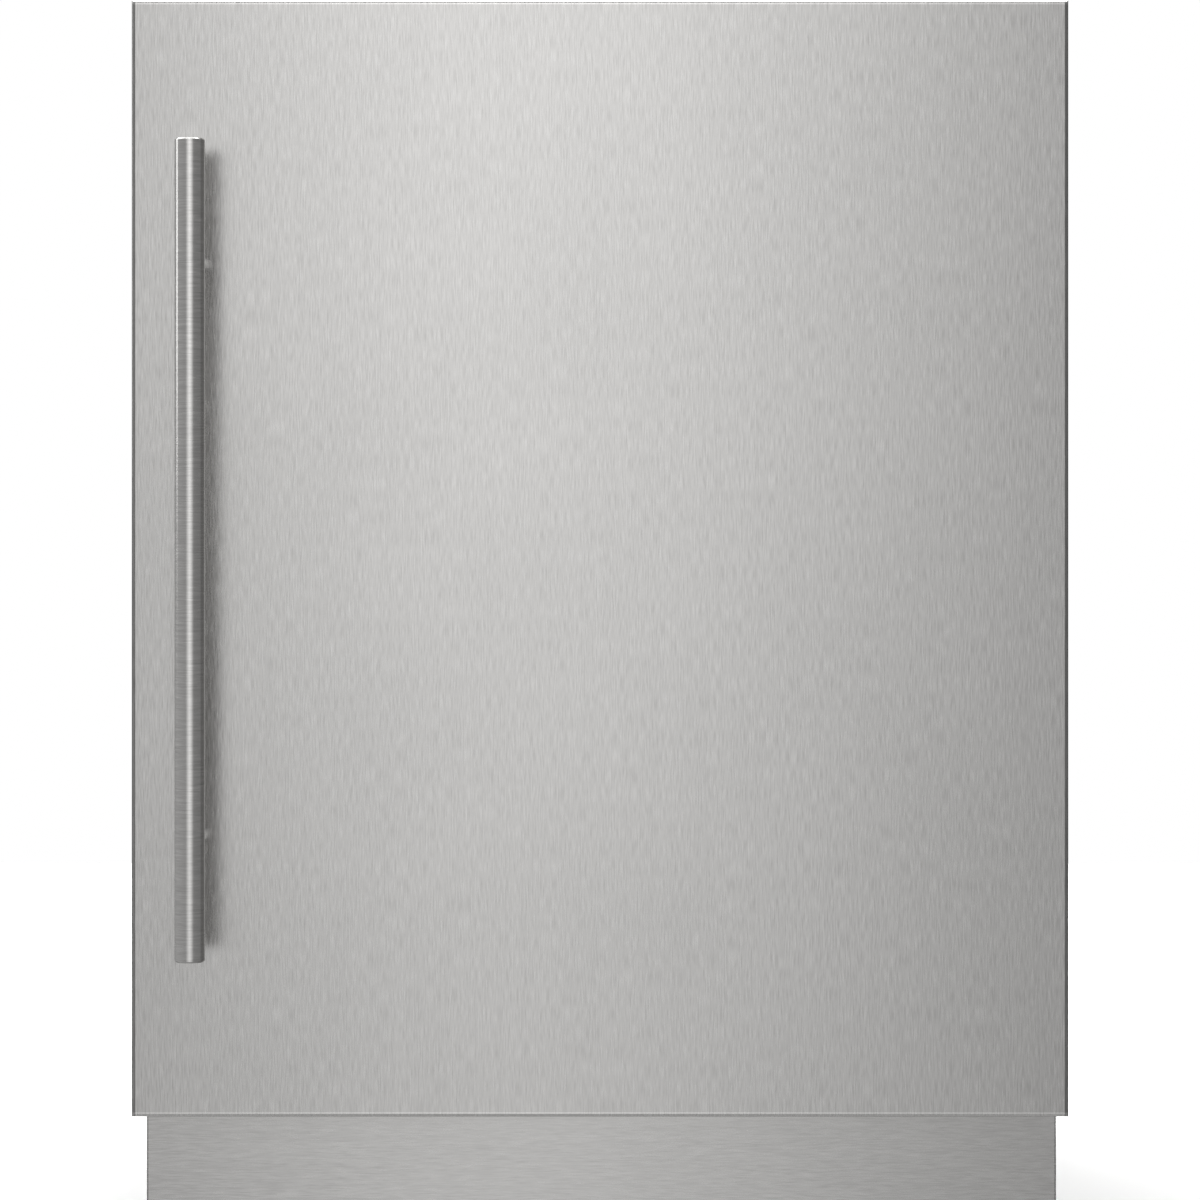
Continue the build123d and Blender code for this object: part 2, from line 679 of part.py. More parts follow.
def cavity(grow):
    """Air space of the food compartment, swollen by grow on every wall."""
    floor, roof = CAVITY_FLOOR - grow, CAVITY_ROOF + grow
    rear, step_y, step_z = CAVITY_REAR + grow, HUMP_Y + grow, HUMP_Z - grow
    outline = Polyline(
        (Y_FRONT, floor),
        (step_y, floor),
        (step_y, step_z),
        (rear, step_z),
        (rear, roof),
        (Y_FRONT, roof),
        close=True,
    )
    side = rounded(make_face(outline), [(step_y, step_z)], LINER_R - grow)
    side = rounded(side, [(step_y, floor), (rear, step_z), (rear, roof)], LINER_R + grow)
    half = CAVITY_HALF + grow
    space = extrude(Plane.YZ * side, half, both=True)
    middles = [(edge, edge @ 0.5) for edge in space.edges()]
    rims = [e for e, m in middles if abs(m.X) > half - 1 and m.Y > Y_FRONT + 1]
    return fillet(rims, LINER_SIDE_R + grow)


def drain_hole():
    """Path of the defrost drain through the hump."""
    return rod("Z", DRAIN_R, (TUNNEL_ROOF - 1, HUMP_Z + 1), (DRAIN_X, DRAIN_Y))


def hinge_screw_holes():
    """Holes for the hinge plates' screws in the cabinet's top and bottom."""
    return [
        rod("Z", HINGE_SCREW_R, span, place)
        for place in HINGE_SCREW_PLACES
        for span in (
            (CABINET_TOP - HINGE_SCREW_DEPTH, CABINET_TOP + 1),
            (DOOR_BOTTOM - 1, DOOR_BOTTOM + HINGE_SCREW_DEPTH),
        )
    ]


def cover_screw_holes():
    """Holes for the machine cover's screws."""
    span = (Y_SHEET - COVER_SCREW_DEPTH, Y_SHEET + 1)
    return [rod("Y", COVER_SCREW_R, span, place) for place in COVER_SCREW_PLACES]


def outer_wrapper():
    """Steel sheet bent over the top and both sides, with flanges round the back."""
    depth = (Y_FRAME_BACK, Y_REAR)
    sheet = block(both(CAB_HALF), depth, (BASE_Z, CABINET_TOP))
    bends = sheet.edges().filter_by(Axis.Y).sort_by(Axis.Z)[-2:]
    sheet = fillet(bends, WRAPPER_R)
    inside = block(both(CAB_INSIDE), depth, (BASE_Z, CABINET_TOP - WRAPPER_T))
    bends = inside.edges().filter_by(Axis.Y).sort_by(Axis.Z)[-2:]
    sheet -= fillet(bends, WRAPPER_R - WRAPPER_T)
    lip = (Y_FOAM_BACK, Y_FOAM_BACK + WRAPPER_T)
    for side in (-1, 1):
        x = sorted((side * CAB_INSIDE, side * (CAB_INSIDE - REAR_FLANGE_W)))
        sheet += block(x, lip, (BASE_Z, CABINET_TOP - WRAPPER_R))
    return sheet - hinge_screw_holes() - cover_screw_holes()


def underbody_panel():
    """Steel sheet under the insulation, stepped up over the machine compartment."""
    x = both(CAB_INSIDE)
    floor = (DOOR_BOTTOM, DOOR_BOTTOM + WRAPPER_T)
    riser = (Y_TUNNEL - WRAPPER_T, Y_TUNNEL)
    roof = (TUNNEL_ROOF, TUNNEL_ROOF + WRAPPER_T)
    sheet = block(x, (Y_FRAME_BACK, Y_TUNNEL), floor)
    sheet += block(x, riser, (floor[0], roof[1]))
    sheet += block(x, (riser[0], Y_FOAM_BACK), roof)
    return sheet - hinge_screw_holes() - drain_hole()


def foam_insulation():
    """Foam that fills the space between the sheets and the liner."""
    foam = block(
        both(CAB_INSIDE),
        (Y_FRAME_BACK, Y_FOAM_BACK),
        (DOOR_BOTTOM + WRAPPER_T, CABINET_TOP - WRAPPER_T),
    )
    bends = foam.edges().filter_by(Axis.Y).sort_by(Axis.Z)[-2:]
    foam = fillet(bends, WRAPPER_R - WRAPPER_T)
    foam -= block(
        both(CAB_INSIDE),
        (Y_TUNNEL - WRAPPER_T, Y_FOAM_BACK),
        (DOOR_BOTTOM, TUNNEL_ROOF + WRAPPER_T),
    )
    return foam - cavity(LINER_T) - hinge_screw_holes() - drain_hole()


def inner_liner():
    """Thermoformed lining of the food compartment."""
    liner = cavity(LINER_T) - cavity(0)
    ahead = block(both(CAB_HALF), (Y_FRONT - 1, Y_FRAME_BACK), (0, DOOR_TOP))
    return liner - ahead - drain_hole()


def front_frame():
    """Frame round the opening that the door's seal closes on."""
    frame = block(both(CAB_HALF), (Y_FRONT, Y_FRAME_BACK), (DOOR_BOTTOM, CABINET_TOP))
    return frame - cavity(0)


def rear_panel():
    """Flat sheet over the upper back."""
    return block(
        both(CAB_INSIDE - SHEET_FIT),
        (Y_SHEET - COVER_SHEET_T, Y_SHEET),
        (TUNNEL_ROOF, CABINET_TOP - WRAPPER_R),
    )


def base_pan():
    """Steel floor of the machine compartment, with a nut welded over each leg."""
    half = CAB_INSIDE - SHEET_FIT
    y = (PAN_FRONT, Y_FOAM_BACK - SHEET_FIT)
    floor = (BASE_Z, BASE_Z + PAN_T)
    pan = block(both(half), y, floor)
    pan += block(
        both(half), (PAN_FRONT, PAN_FRONT + PAN_T), (BASE_Z, BASE_Z + PAN_FRONT_FLANGE)
    )
    for side in (-1, 1):
        x = sorted((side * half, side * (half - PAN_T)))
        pan += block(x, y, (BASE_Z, BASE_Z + PAN_SIDE_FLANGE))
    for place in LEG_PLACES.values():
        pan += rod("Z", WELD_NUT_R, (BASE_Z, floor[1] + WELD_NUT_H), place)
        pan -= rod("Z", STUD_R + STUD_FIT, (0, STUD_TOP), place)
    return pan


def levelling_leg(place):
    """Foot, hexagon and stud in one, screwed fully in."""
    foot = rod("Z", FOOT_R, (0, FOOT_H), place)
    foot = fillet(foot.edges().filter_by(GeomType.CIRCLE), FOOT_EDGE_R)
    hexagon = extrude(
        RegularPolygon(LEG_HEX / 2, 6, major_radius=False), BASE_Z - FOOT_H
    )
    leg = foot + Pos(*place, FOOT_H) * hexagon
    return leg + rod("Z", STUD_R, (FOOT_H, STUD_TOP), place)


def kick_plate():
    """Stainless toe kick, flanged along its long edges and hooked on the base pan."""
    inside = (Y_FRONT + KICK_T, Y_FRONT + KICK_T + KICK_FLANGE)
    flange = both(DOOR_W / 2 - KICK_FLANGE_INSET)
    plate = block(
        both(DOOR_W / 2), (Y_FRONT, Y_FRONT + KICK_T), (KICK_BOTTOM_Z, KICK_TOP)
    )
    plate += block(flange, inside, (KICK_TOP - KICK_T, KICK_TOP))
    plate += block(flange, inside, (KICK_BOTTOM_Z, KICK_BOTTOM_Z + KICK_T))
    hook_z = BASE_Z + PAN_FRONT_FLANGE + SHEET_FIT
    behind = PAN_FRONT + PAN_T + SHEET_FIT
    for x in (-KICK_TAB_X, KICK_TAB_X):
        width = around(x, KICK_TAB_W)
        plate += block(
            width, (Y_FRONT + KICK_T, behind + KICK_T), (hook_z, hook_z + KICK_T)
        )
        plate += block(width, (behind, behind + KICK_T), (hook_z - KICK_HOOK_DROP, hook_z))
    return plate


def anchor_tabs():
    """Two tabs on the cabinet's top for screws up into a worktop."""
    tabs = []
    z = (CABINET_TOP, CABINET_TOP + TAB_T)
    for x in (-TAB_X, TAB_X):
        tab = block(around(x, TAB_W), (Y_FRONT - TAB_REACH, Y_FRONT + TAB_BED), z)
        for offset in (-TAB_HOLE_PITCH / 2, TAB_HOLE_PITCH / 2):
            at = (x, Y_FRONT - TAB_HOLE_Y + offset)
            tab -= rod("Z", TAB_HOLE_R, z, at)
        tabs.append(tab)
    return Compound(children=tabs)


def hinge_bracket(z):
    """Hinge plate between two levels: a bed on the cabinet and an arm to the pin."""
    nose = rod("Z", HINGE_NOSE_R, z, (HINGE_X, HINGE_Y))
    right = HINGE_X + HINGE_ARM_RIGHT
    arm = block((HINGE_X - HINGE_NOSE_R, right), (HINGE_Y, Y_FRONT + FRAME_T), z)
    bed = block((right - HINGE_PLATE_W, right), (Y_FRONT, Y_FRONT + HINGE_PLATE_D), z)
    plate = nose + arm + bed - rod("Z", PIN_R, z, (HINGE_X, HINGE_Y))
    return plate - [rod("Z", HINGE_SCREW_R, z, place) for place in HINGE_SCREW_PLACES]


def hinge_pins():
    """Shouldered pins pressed into the hinge plates."""
    at = (HINGE_X, HINGE_Y)
    shoulder = INNER_GAP - BUSH_FLANGE_T - THRUST_GAP
    top = rod("Z", PIN_R, (INNER_TOP - PIN_DEPTH, CABINET_TOP + HINGE_PLATE_T), at)
    top += rod("Z", BUSH_R, (CABINET_TOP - shoulder, CABINET_TOP), at)
    low = DOOR_BOTTOM - HINGE_PLATE_T
    bottom = rod("Z", PIN_R, (low, INNER_BOTTOM + PIN_DEPTH), at)
    bottom += rod("Z", BUSH_R, (DOOR_BOTTOM, DOOR_BOTTOM + shoulder), at)
    return Compound(children=[top, bottom])


def hinge_screws():
    """Screws through both hinge plates into the cabinet."""
    top_face = CABINET_TOP + HINGE_PLATE_T
    low_face = DOOR_BOTTOM - HINGE_PLATE_T
    screws = []
    for at in HINGE_SCREW_PLACES:
        top = rod("Z", HINGE_SCREW_R, (CABINET_TOP - HINGE_SCREW_DEPTH, top_face), at)
        head = (top_face, top_face + HINGE_SCREW_HEAD_T)
        screws.append(top + rod("Z", HINGE_SCREW_HEAD_R, head, at))
        low = rod("Z", HINGE_SCREW_R, (low_face, DOOR_BOTTOM + HINGE_SCREW_DEPTH), at)
        head = (low_face - HINGE_SCREW_HEAD_T, low_face)
        screws.append(low + rod("Z", HINGE_SCREW_HEAD_R, head, at))
    return Compound(children=screws)


# ---- interior ----
def shelf_ladders():
    """Side plates with a ladder of ledges that the shelves slide on."""
    sides = []
    top = LADDER_Z0 + LADDER_STEPS * SHELF_PITCH - SHELF_H
    for side in (-1, 1):
        outer, face = side * CAVITY_HALF, side * (CAVITY_HALF - LADDER_T)
        edge = side * (CAVITY_HALF - LADDER_T - LADDER_STEP_W)
        ladder = block(sorted((outer, face)), LADDER_Y, (LADDER_Z0, top))
        for step in range(LADDER_STEPS):
            low = LADDER_Z0 + step * SHELF_PITCH
            ladder += block(sorted((face, edge)), LADDER_Y, (low, low + LADDER_STEP_H))
        sides.append(ladder)
    return Compound(children=sides)


def shelf_frame(front, z):
    """Moulded border of a glass shelf, with a seat for the glass and a low rear lip."""
    half = CAVITY_HALF - LADDER_T - SHELF_SIDE_FIT
    y = (Y_FRONT + front, CAVITY_REAR - SHELF_REAR_GAP)
    frame = block(both(half), y, (z, z + SHELF_H))
    frame -= block(
        both(half - SHELF_BORDER),
        (y[0] + SHELF_BORDER, y[1] - SHELF_BORDER),
        (z, z + SHELF_H),
    )
    seat = SHELF_BORDER - GLASS_SEAT
    frame -= block(
        both(half - seat),
        (y[0] + seat, y[1] - seat),
        (z + SHELF_H - GLASS_T, z + SHELF_H),
    )
    lip = (y[1] - SHELF_LIP, y[1])
    return frame + block(both(half), lip, (z + SHELF_H, z + SHELF_H + SHELF_LIP))


def shelf_glass(front, z):
    """Tempered glass that drops into the shelf's border."""
    seat = SHELF_BORDER - GLASS_SEAT + GLASS_FIT
    half = CAVITY_HALF - LADDER_T - SHELF_SIDE_FIT - seat
    y = (Y_FRONT + front + seat, CAVITY_REAR - SHELF_REAR_GAP - seat)
    return block(both(half), y, (z + SHELF_H - GLASS_T, z + SHELF_H))


def crisper_rails():
    """Ledges on both side walls that the crisper hangs from."""
    z = CRISPER_Z[1] - CRISPER_RIM_T
    y = (CRISPER_Y[0] + 2 * CRISPER_WALL, CRISPER_Y[1])
    return Compound(
        children=[
            block(
                sorted((side * CAVITY_HALF, side * (CAVITY_HALF - RUNNER_W))),
                y,
                (z - RUNNER_H, z),
            )
            for side in (-1, 1)
        ]
    )


def crisper_bin():
    """Clear drawer with side rims and a taller front with a finger pull."""
    tub = block(both(CRISPER_HALF), CRISPER_Y, CRISPER_Z)
    tub = fillet(tub.edges().filter_by(Axis.Z), CRISPER_CORNER_R)
    inside = block(
        both(CRISPER_HALF - CRISPER_WALL),
        (CRISPER_Y[0] + CRISPER_WALL, CRISPER_Y[1] - CRISPER_WALL),
        (CRISPER_Z[0] + CRISPER_WALL, CRISPER_Z[1]),
    )
    tub -= fillet(inside.edges().filter_by(Axis.Z), CRISPER_CORNER_R - CRISPER_WALL)
    rim_z = (CRISPER_Z[1] - CRISPER_RIM_T, CRISPER_Z[1])
    rim_y = (CRISPER_Y[0] + CRISPER_WALL, CRISPER_Y[1] - CRISPER_CORNER_R)
    for side in (-1, 1):
        x = sorted(
            (side * (CRISPER_HALF - CRISPER_WALL), side * (CRISPER_HALF + CRISPER_RIM_W))
        )
        tub += block(x, rim_y, rim_z)
    face = block(
        both(CAVITY_HALF - CRISPER_FRONT_SIDE_GAP),
        (CRISPER_Y[0], CRISPER_Y[0] + CRISPER_WALL),
        (CRISPER_Z[0] - CRISPER_WALL, CRISPER_Z[1] + CRISPER_FRONT_RISE),
    )
    pull_z = CRISPER_Z[1] - CRISPER_PULL_H
    pull = block(
        both(CRISPER_PULL_W / 2),
        (CRISPER_Y[0] - 1, CRISPER_Y[0] + CRISPER_WALL + 1),
        (pull_z, CRISPER_Z[1] + CRISPER_FRONT_RISE + 1),
    )
    pull = fillet(pull.edges().filter_by(Axis.Y).sort_by(Axis.Z)[:2], BIN_CORNER_R)
    return tub + face - pull


def control_housing():
    """Hollow housing under the roof for the display and the buttons."""
    case = block(both(HOUSING_W / 2), HOUSING_Y, HOUSING_Z)
    lower = case.edges().filter_by(Axis.X).sort_by(Axis.Z)[:2]
    case = fillet(lower, HOUSING_WALL)
    case -= block(
        both(HOUSING_W / 2 - HOUSING_WALL),
        (HOUSING_Y[0] + HOUSING_WALL, HOUSING_Y[1] - HOUSING_WALL),
        (HOUSING_Z[0] + HOUSING_WALL, HOUSING_Z[1]),
    )
    window = (HOUSING_Y[0], HOUSING_Y[0] + DISPLAY_RECESS)
    case -= block(around(DISPLAY_X, DISPLAY_W), window, around(BUTTON_Z, DISPLAY_H))
    hole = (HOUSING_Y[0], HOUSING_Y[0] + HOUSING_WALL)
    for index in range(len(BUTTON_NAMES)):
        at = (BUTTON_FIRST_X + index * BUTTON_PITCH, BUTTON_Z)
        case -= rod("Y", BUTTON_R + BUTTON_FIT, hole, at)
    return case


def push_button(index):
    """Round key that stands a little proud of the housing."""
    y = (HOUSING_Y[0] - BUTTON_PROUD, HOUSING_Y[0] - BUTTON_PROUD + BUTTON_LENGTH)
    key = rod("Y", BUTTON_R, y, (BUTTON_FIRST_X + index * BUTTON_PITCH, BUTTON_Z))
    face = key.edges().filter_by(GeomType.CIRCLE).sort_by(Axis.Y)[0]
    return fillet(face, BUTTON_PROUD / 3)


def light_bar():
    """Diffuser of the ceiling light."""
    low = HOUSING_Y[1] + LIGHT_BEHIND
    bar = block(
        both(LIGHT_W / 2), (low, low + LIGHT_D), (CAVITY_ROOF - LIGHT_H, CAVITY_ROOF)
    )
    lower = bar.faces().sort_by(Axis.Z)[0].edges()
    return fillet(lower, LIGHT_H / 2)


def evaporator_cover():
    """Air duct cover on the rear wall, with the fan's grille and rows of intake slots."""
    z = (HUMP_Z + COVER_BOTTOM_GAP, COVER_TOP)
    cover = block(both(COVER_W / 2), (COVER_Y, CAVITY_REAR), z)
    cover = fillet(front_edges(cover), 2 * COVER_WALL)
    cover -= block(
        both(COVER_W / 2 - COVER_WALL),
        (COVER_Y + COVER_WALL, CAVITY_REAR),
        (z[0] + COVER_WALL, z[1] - COVER_WALL),
    )
    skin = (COVER_Y, COVER_Y + COVER_WALL)
    cover -= rod("Y", FAN_OPENING_R, skin, (0, FAN_Z))
    for radius in GRILLE_RINGS:
        ring = rod("Y", radius + GRILLE_BAR / 2, skin, (0, FAN_Z))
        cover += ring - rod("Y", radius - GRILLE_BAR / 2, skin, (0, FAN_Z))
    spoke = Box(2 * FAN_OPENING_R + 1, COVER_WALL, GRILLE_BAR)
    for turn in range(GRILLE_SPOKES // 2):
        angle = turn * 360 / GRILLE_SPOKES
        cover += Pos(0, sum(skin) / 2, FAN_Z) * Rot(0, angle, 0) * spoke
    for row in range(INTAKE_ROWS):
        height = around(z[0] + INTAKE_FIRST + row * INTAKE_PITCH[1], INTAKE_SLOT[1])
        for column in range(INTAKE_COLUMNS):
            x = (column - (INTAKE_COLUMNS - 1) / 2) * INTAKE_PITCH[0]
            cover -= block(around(x, INTAKE_SLOT[0]), skin, height)
    return cover


def return_bend(middle, bulge, normal, radius, tube_r):
    """Half of a torus that bulges one way in the plane with the given normal."""
    keep = Pos(radius, 0, 0) * Box(2 * radius, 4 * radius, 4 * radius)
    half = Torus(radius, tube_r) & keep
    return Plane(origin=middle, x_dir=bulge, z_dir=normal) * half


def evaporator_coil():
    """Finned tube coil behind the cover."""
    y = around((COVER_Y + CAVITY_REAR + COVER_WALL) / 2, COIL_D)
    middle = sum(y) / 2
    pitch = (COIL_Z[1] - COIL_Z[0]) / COIL_ROWS
    rows = [COIL_Z[0] + pitch * (n + 0.5) for n in range(COIL_ROWS)]
    coil = [rod("X", COIL_TUBE_R, both(COIL_W / 2), (middle, z)) for z in rows]
    for index, z in enumerate(rows[:-1]):
        side = 1 if index % 2 == 0 else -1
        place = (side * COIL_W / 2, middle, z + pitch / 2)
        bend = return_bend(place, (side, 0, 0), (0, 1, 0), pitch / 2, COIL_TUBE_R)
        coil.append(bend)
    spacing = (COIL_W - COIL_END_BARE * 2) / (COIL_FINS - 1)
    fins = []
    for index in range(COIL_FINS):
        x = COIL_END_BARE - COIL_W / 2 + index * spacing
        fins.append(block(around(x, FIN_T), y, COIL_Z))
    return (Part() + coil) + fins


def evaporator_fan_motor():
    """Small motor on the rear wall behind the fan."""
    face = CAVITY_REAR - EVAP_MOTOR_T
    motor = rod("Y", EVAP_MOTOR_R, (face, CAVITY_REAR), (0, FAN_Z))
    motor += block(
        both(EVAP_PLATE_W / 2),
        (CAVITY_REAR - EVAP_PLATE_T, CAVITY_REAR),
        around(FAN_Z, EVAP_PLATE_H),
    )
    return motor + rod("Y", SHAFT_R, (face - HUB_GAP - EVAP_HUB_T, face), (0, FAN_Z))


def evaporator_fan():
    """Fan wheel that draws air over the coil."""
    y = CAVITY_REAR - EVAP_MOTOR_T - HUB_GAP - EVAP_HUB_T / 2
    wheel = fan(EVAP_HUB_R, EVAP_FAN_R, EVAP_HUB_T, *EVAP_BLADES)
    return Pos(0, y, FAN_Z) * Rot(90, 0, 0) * wheel


def drain_tube():
    """Flanged tube that takes defrost water down through the hump."""
    at = (DRAIN_X, DRAIN_Y)
    bottom = DRIP_Z[0] + PAN_WALL + DRAIN_DROP
    tube = rod("Z", DRAIN_R, (bottom, HUMP_Z), at)
    tube += rod("Z", DRAIN_FLANGE_R, (HUMP_Z, HUMP_Z + DRAIN_WALL), at)
    return tube - rod("Z", DRAIN_R - DRAIN_WALL, (bottom, HUMP_Z + DRAIN_WALL), at)


# ---- machine compartment ----
def drain_pan():
    """Evaporation tray hung over the compressor."""
    tray = block(DRIP_X, DRIP_Y, DRIP_Z)
    tray -= block(
        (DRIP_X[0] + PAN_WALL, DRIP_X[1] - PAN_WALL),
        (DRIP_Y[0] + PAN_WALL, DRIP_Y[1] - PAN_WALL),
        (DRIP_Z[0] + PAN_WALL, DRIP_Z[1]),
    )
    middle = around(sum(DRIP_Y) / 2, DRIP_HANGER_W)
    up = (DRIP_Z[1] - PAN_WALL, TUNNEL_ROOF)
    tray += block((DRIP_X[0], DRIP_X[0] + PAN_WALL), middle, up)
    return tray + block((DRIP_X[1] - PAN_WALL, DRIP_X[1]), middle, up)


def compressor_body():
    """Outside of the welded compressor can, as one solid."""
    at = (COMPRESSOR_X, COMPRESSOR_Y)
    can = rod("Z", COMPRESSOR_R, (COMPRESSOR_BOTTOM, COMPRESSOR_TOP), at)
    can = fillet(can.edges().filter_by(GeomType.CIRCLE), COMPRESSOR_DOME_R)
    seam = around((COMPRESSOR_BOTTOM + COMPRESSOR_TOP) / 2, SEAM_T)
    return can + rod("Z", SEAM_R, seam, at)


def compressor():
    """Hermetic compressor on its foot plate."""
    at = (COMPRESSOR_X, COMPRESSOR_Y)
    wall = COMPRESSOR_WALL
    hollow = rod(
        "Z", COMPRESSOR_R - wall, (COMPRESSOR_BOTTOM + wall, COMPRESSOR_TOP - wall), at
    )
    hollow = fillet(hollow.edges().filter_by(GeomType.CIRCLE), COMPRESSOR_DOME_R - wall)
    low = PAN_TOP + GROMMET_H
    plate = block(
        around(COMPRESSOR_X, MOUNT_PLATE[0]),
        around(COMPRESSOR_Y, MOUNT_PLATE[1]),
        (low, low + MOUNT_PLATE[2]),
    )
    plate = fillet(plate.edges().filter_by(Axis.Z), MOUNT_PLATE_R)
    for x, y in mount_places():
        plate -= rod("Z", MOUNT_BOLT_R, (low, low + MOUNT_PLATE[2]), (x, y))
    pedestal = rod("Z", PEDESTAL_R, (low + MOUNT_PLATE[2], COMPRESSOR_BOTTOM + 1), at)
    return compressor_body() + plate + pedestal - hollow


def mount_places():
    """Centres of the compressor's four rubber mounts."""
    return [
        (COMPRESSOR_X + i * MOUNT_X, COMPRESSOR_Y + j * MOUNT_Y)
        for i in (-1, 1)
        for j in (-1, 1)
    ]


def compressor_mounts():
    """Rubber grommets with their bolts and nuts."""
    low = PAN_TOP
    plate_top = low + GROMMET_H + MOUNT_PLATE[2]
    return Compound(
        children=[
            rod("Z", GROMMET_R, (low, low + GROMMET_H), at)
            + rod("Z", MOUNT_BOLT_R, (low, plate_top + MOUNT_BOLT_PROUD), at)
            + rod("Z", MOUNT_NUT_R, (plate_top, plate_top + MOUNT_NUT_H), at)
            for at in mount_places()
        ]
    )


def relay_cover():
    """Terminal cover clipped to the compressor's side."""
    side = COMPRESSOR_X + COMPRESSOR_R
    box = block(
        (side - RELAY_W / 2, side + RELAY_LENGTH), around(COMPRESSOR_Y, RELAY_W), RELAY_Z
    )
    box = fillet(box.edges().filter_by(Axis.Z).sort_by(Axis.X)[-2:], RELAY_R)
    return (box - compressor_body()).solids().sort_by(Axis.X)[-1]


def condenser_fan_shroud():
    """Sheet that makes the fan draw through the condenser."""
    z = (PAN_TOP, PAN_TOP + SHROUD_H)
    y = around(FAN_AXIS_Y, SHROUD_W)
    x = (SHROUD_X, SHROUD_X + SHROUD_T)
    sheet = block(x, y, z)
    for edge in (y[0], y[1] - SHROUD_T):
        sheet += block((x[0], CONDENSER_X[0]), (edge, edge + SHROUD_T), z)
    return sheet - rod("X", SHROUD_HOLE_R, x, (FAN_AXIS_Y, FAN_AXIS_Z))


def condenser_fan_motor():
    """Motor held in the air stream by four bent arms."""
    face = COND_FAN_X - COND_HUB_T / 2 - HUB_GAP
    back = face - COND_MOTOR_L
    at = (FAN_AXIS_Y, FAN_AXIS_Z)
    motor = rod("X", COND_MOTOR_R, (back, face), at)
    motor += rod("X", SHAFT_R, (face, COND_FAN_X + COND_HUB_T / 2), at)
    reach = SHROUD_HOLE_R + ARM_T
    spoke = block((back, back + ARM_T), both(ARM_T / 2), (0, reach + ARM_T / 2))
    post = block((back, SHROUD_X), both(ARM_T / 2), around(reach, ARM_T))
    for turn in (45, 135, 225, 315):
        motor += Pos(0, *at) * Rot(turn, 0, 0) * (spoke + post)
    return motor


def condenser_fan():
    """Fan wheel of the machine compartment."""
    wheel = fan(COND_HUB_R, COND_FAN_R, COND_HUB_T, *COND_BLADES)
    return Pos(COND_FAN_X, FAN_AXIS_Y, FAN_AXIS_Z) * Rot(0, 90, 0) * wheel


def condenser_places():
    """Columns in X and rows in Z of the condenser's straight tubes."""
    width = CONDENSER_X[1] - CONDENSER_X[0]
    columns = [CONDENSER_X[0] + width * share for share in (0.25, 0.75)]
    pitch = CONDENSER_H / CONDENSER_ROWS
    rows = [PAN_TOP + pitch * (n + 0.5) for n in range(CONDENSER_ROWS)]
    return columns, rows


def condenser_coil():
    """Finned tube condenser between two tube sheets that stand on the pan."""
    columns, rows = condenser_places()
    front, rear = CONDENSER_Y
    ends = (front - TUBE_PROUD, rear + TUBE_PROUD)
    radius = (rows[1] - rows[0]) / 2
    coil = [rod("Y", CONDENSER_TUBE_R, ends, (x, z)) for x in columns for z in rows]
    for x in columns:
        for index, z in enumerate(rows[:-1]):
            y, way = (ends[1], 1) if index % 2 else (ends[0], -1)
            place = (x, y, z + radius)
            bend = return_bend(place, (0, way, 0), (1, 0, 0), radius, CONDENSER_TUBE_R)
            coil.append(bend)
    place = (sum(columns) / 2, ends[1], rows[0])
    half = (columns[1] - columns[0]) / 2
    coil.append(return_bend(place, (0, 1, 0), (0, 0, 1), half, CONDENSER_TUBE_R))
    z = (PAN_TOP, PAN_TOP + CONDENSER_H)
    sheets = ((front, front + TUBE_SHEET_T), (rear - TUBE_SHEET_T, rear))
    plates = [block(CONDENSER_X, y, z) for y in sheets]
    pitch = (rear - front - 2 * CONDENSER_END_BARE) / (CONDENSER_FINS - 1)
    for index in range(CONDENSER_FINS):
        y = front + CONDENSER_END_BARE + index * pitch
        plates.append(block(CONDENSER_X, around(y, FIN_T), (z[0] + FIN_LIFT, z[1])))
    return (Part() + coil) + plates


def filter_drier():
    """Copper drier with spun ends."""
    at = (DRIER_X, DRIER_Y)
    can = rod("Z", DRIER_R, DRIER_Z, at)
    return chamfer(can.edges().filter_by(GeomType.CIRCLE), DRIER_R - LINE_R - 1)


def line(points, radius):
    """Bent tube through the points, with one bend radius."""
    path = FilletPolyline(*points, radius=LINE_BEND_R)
    section = Plane(origin=path @ 0, z_dir=path % 0) * Circle(radius)
    return sweep(section, path)


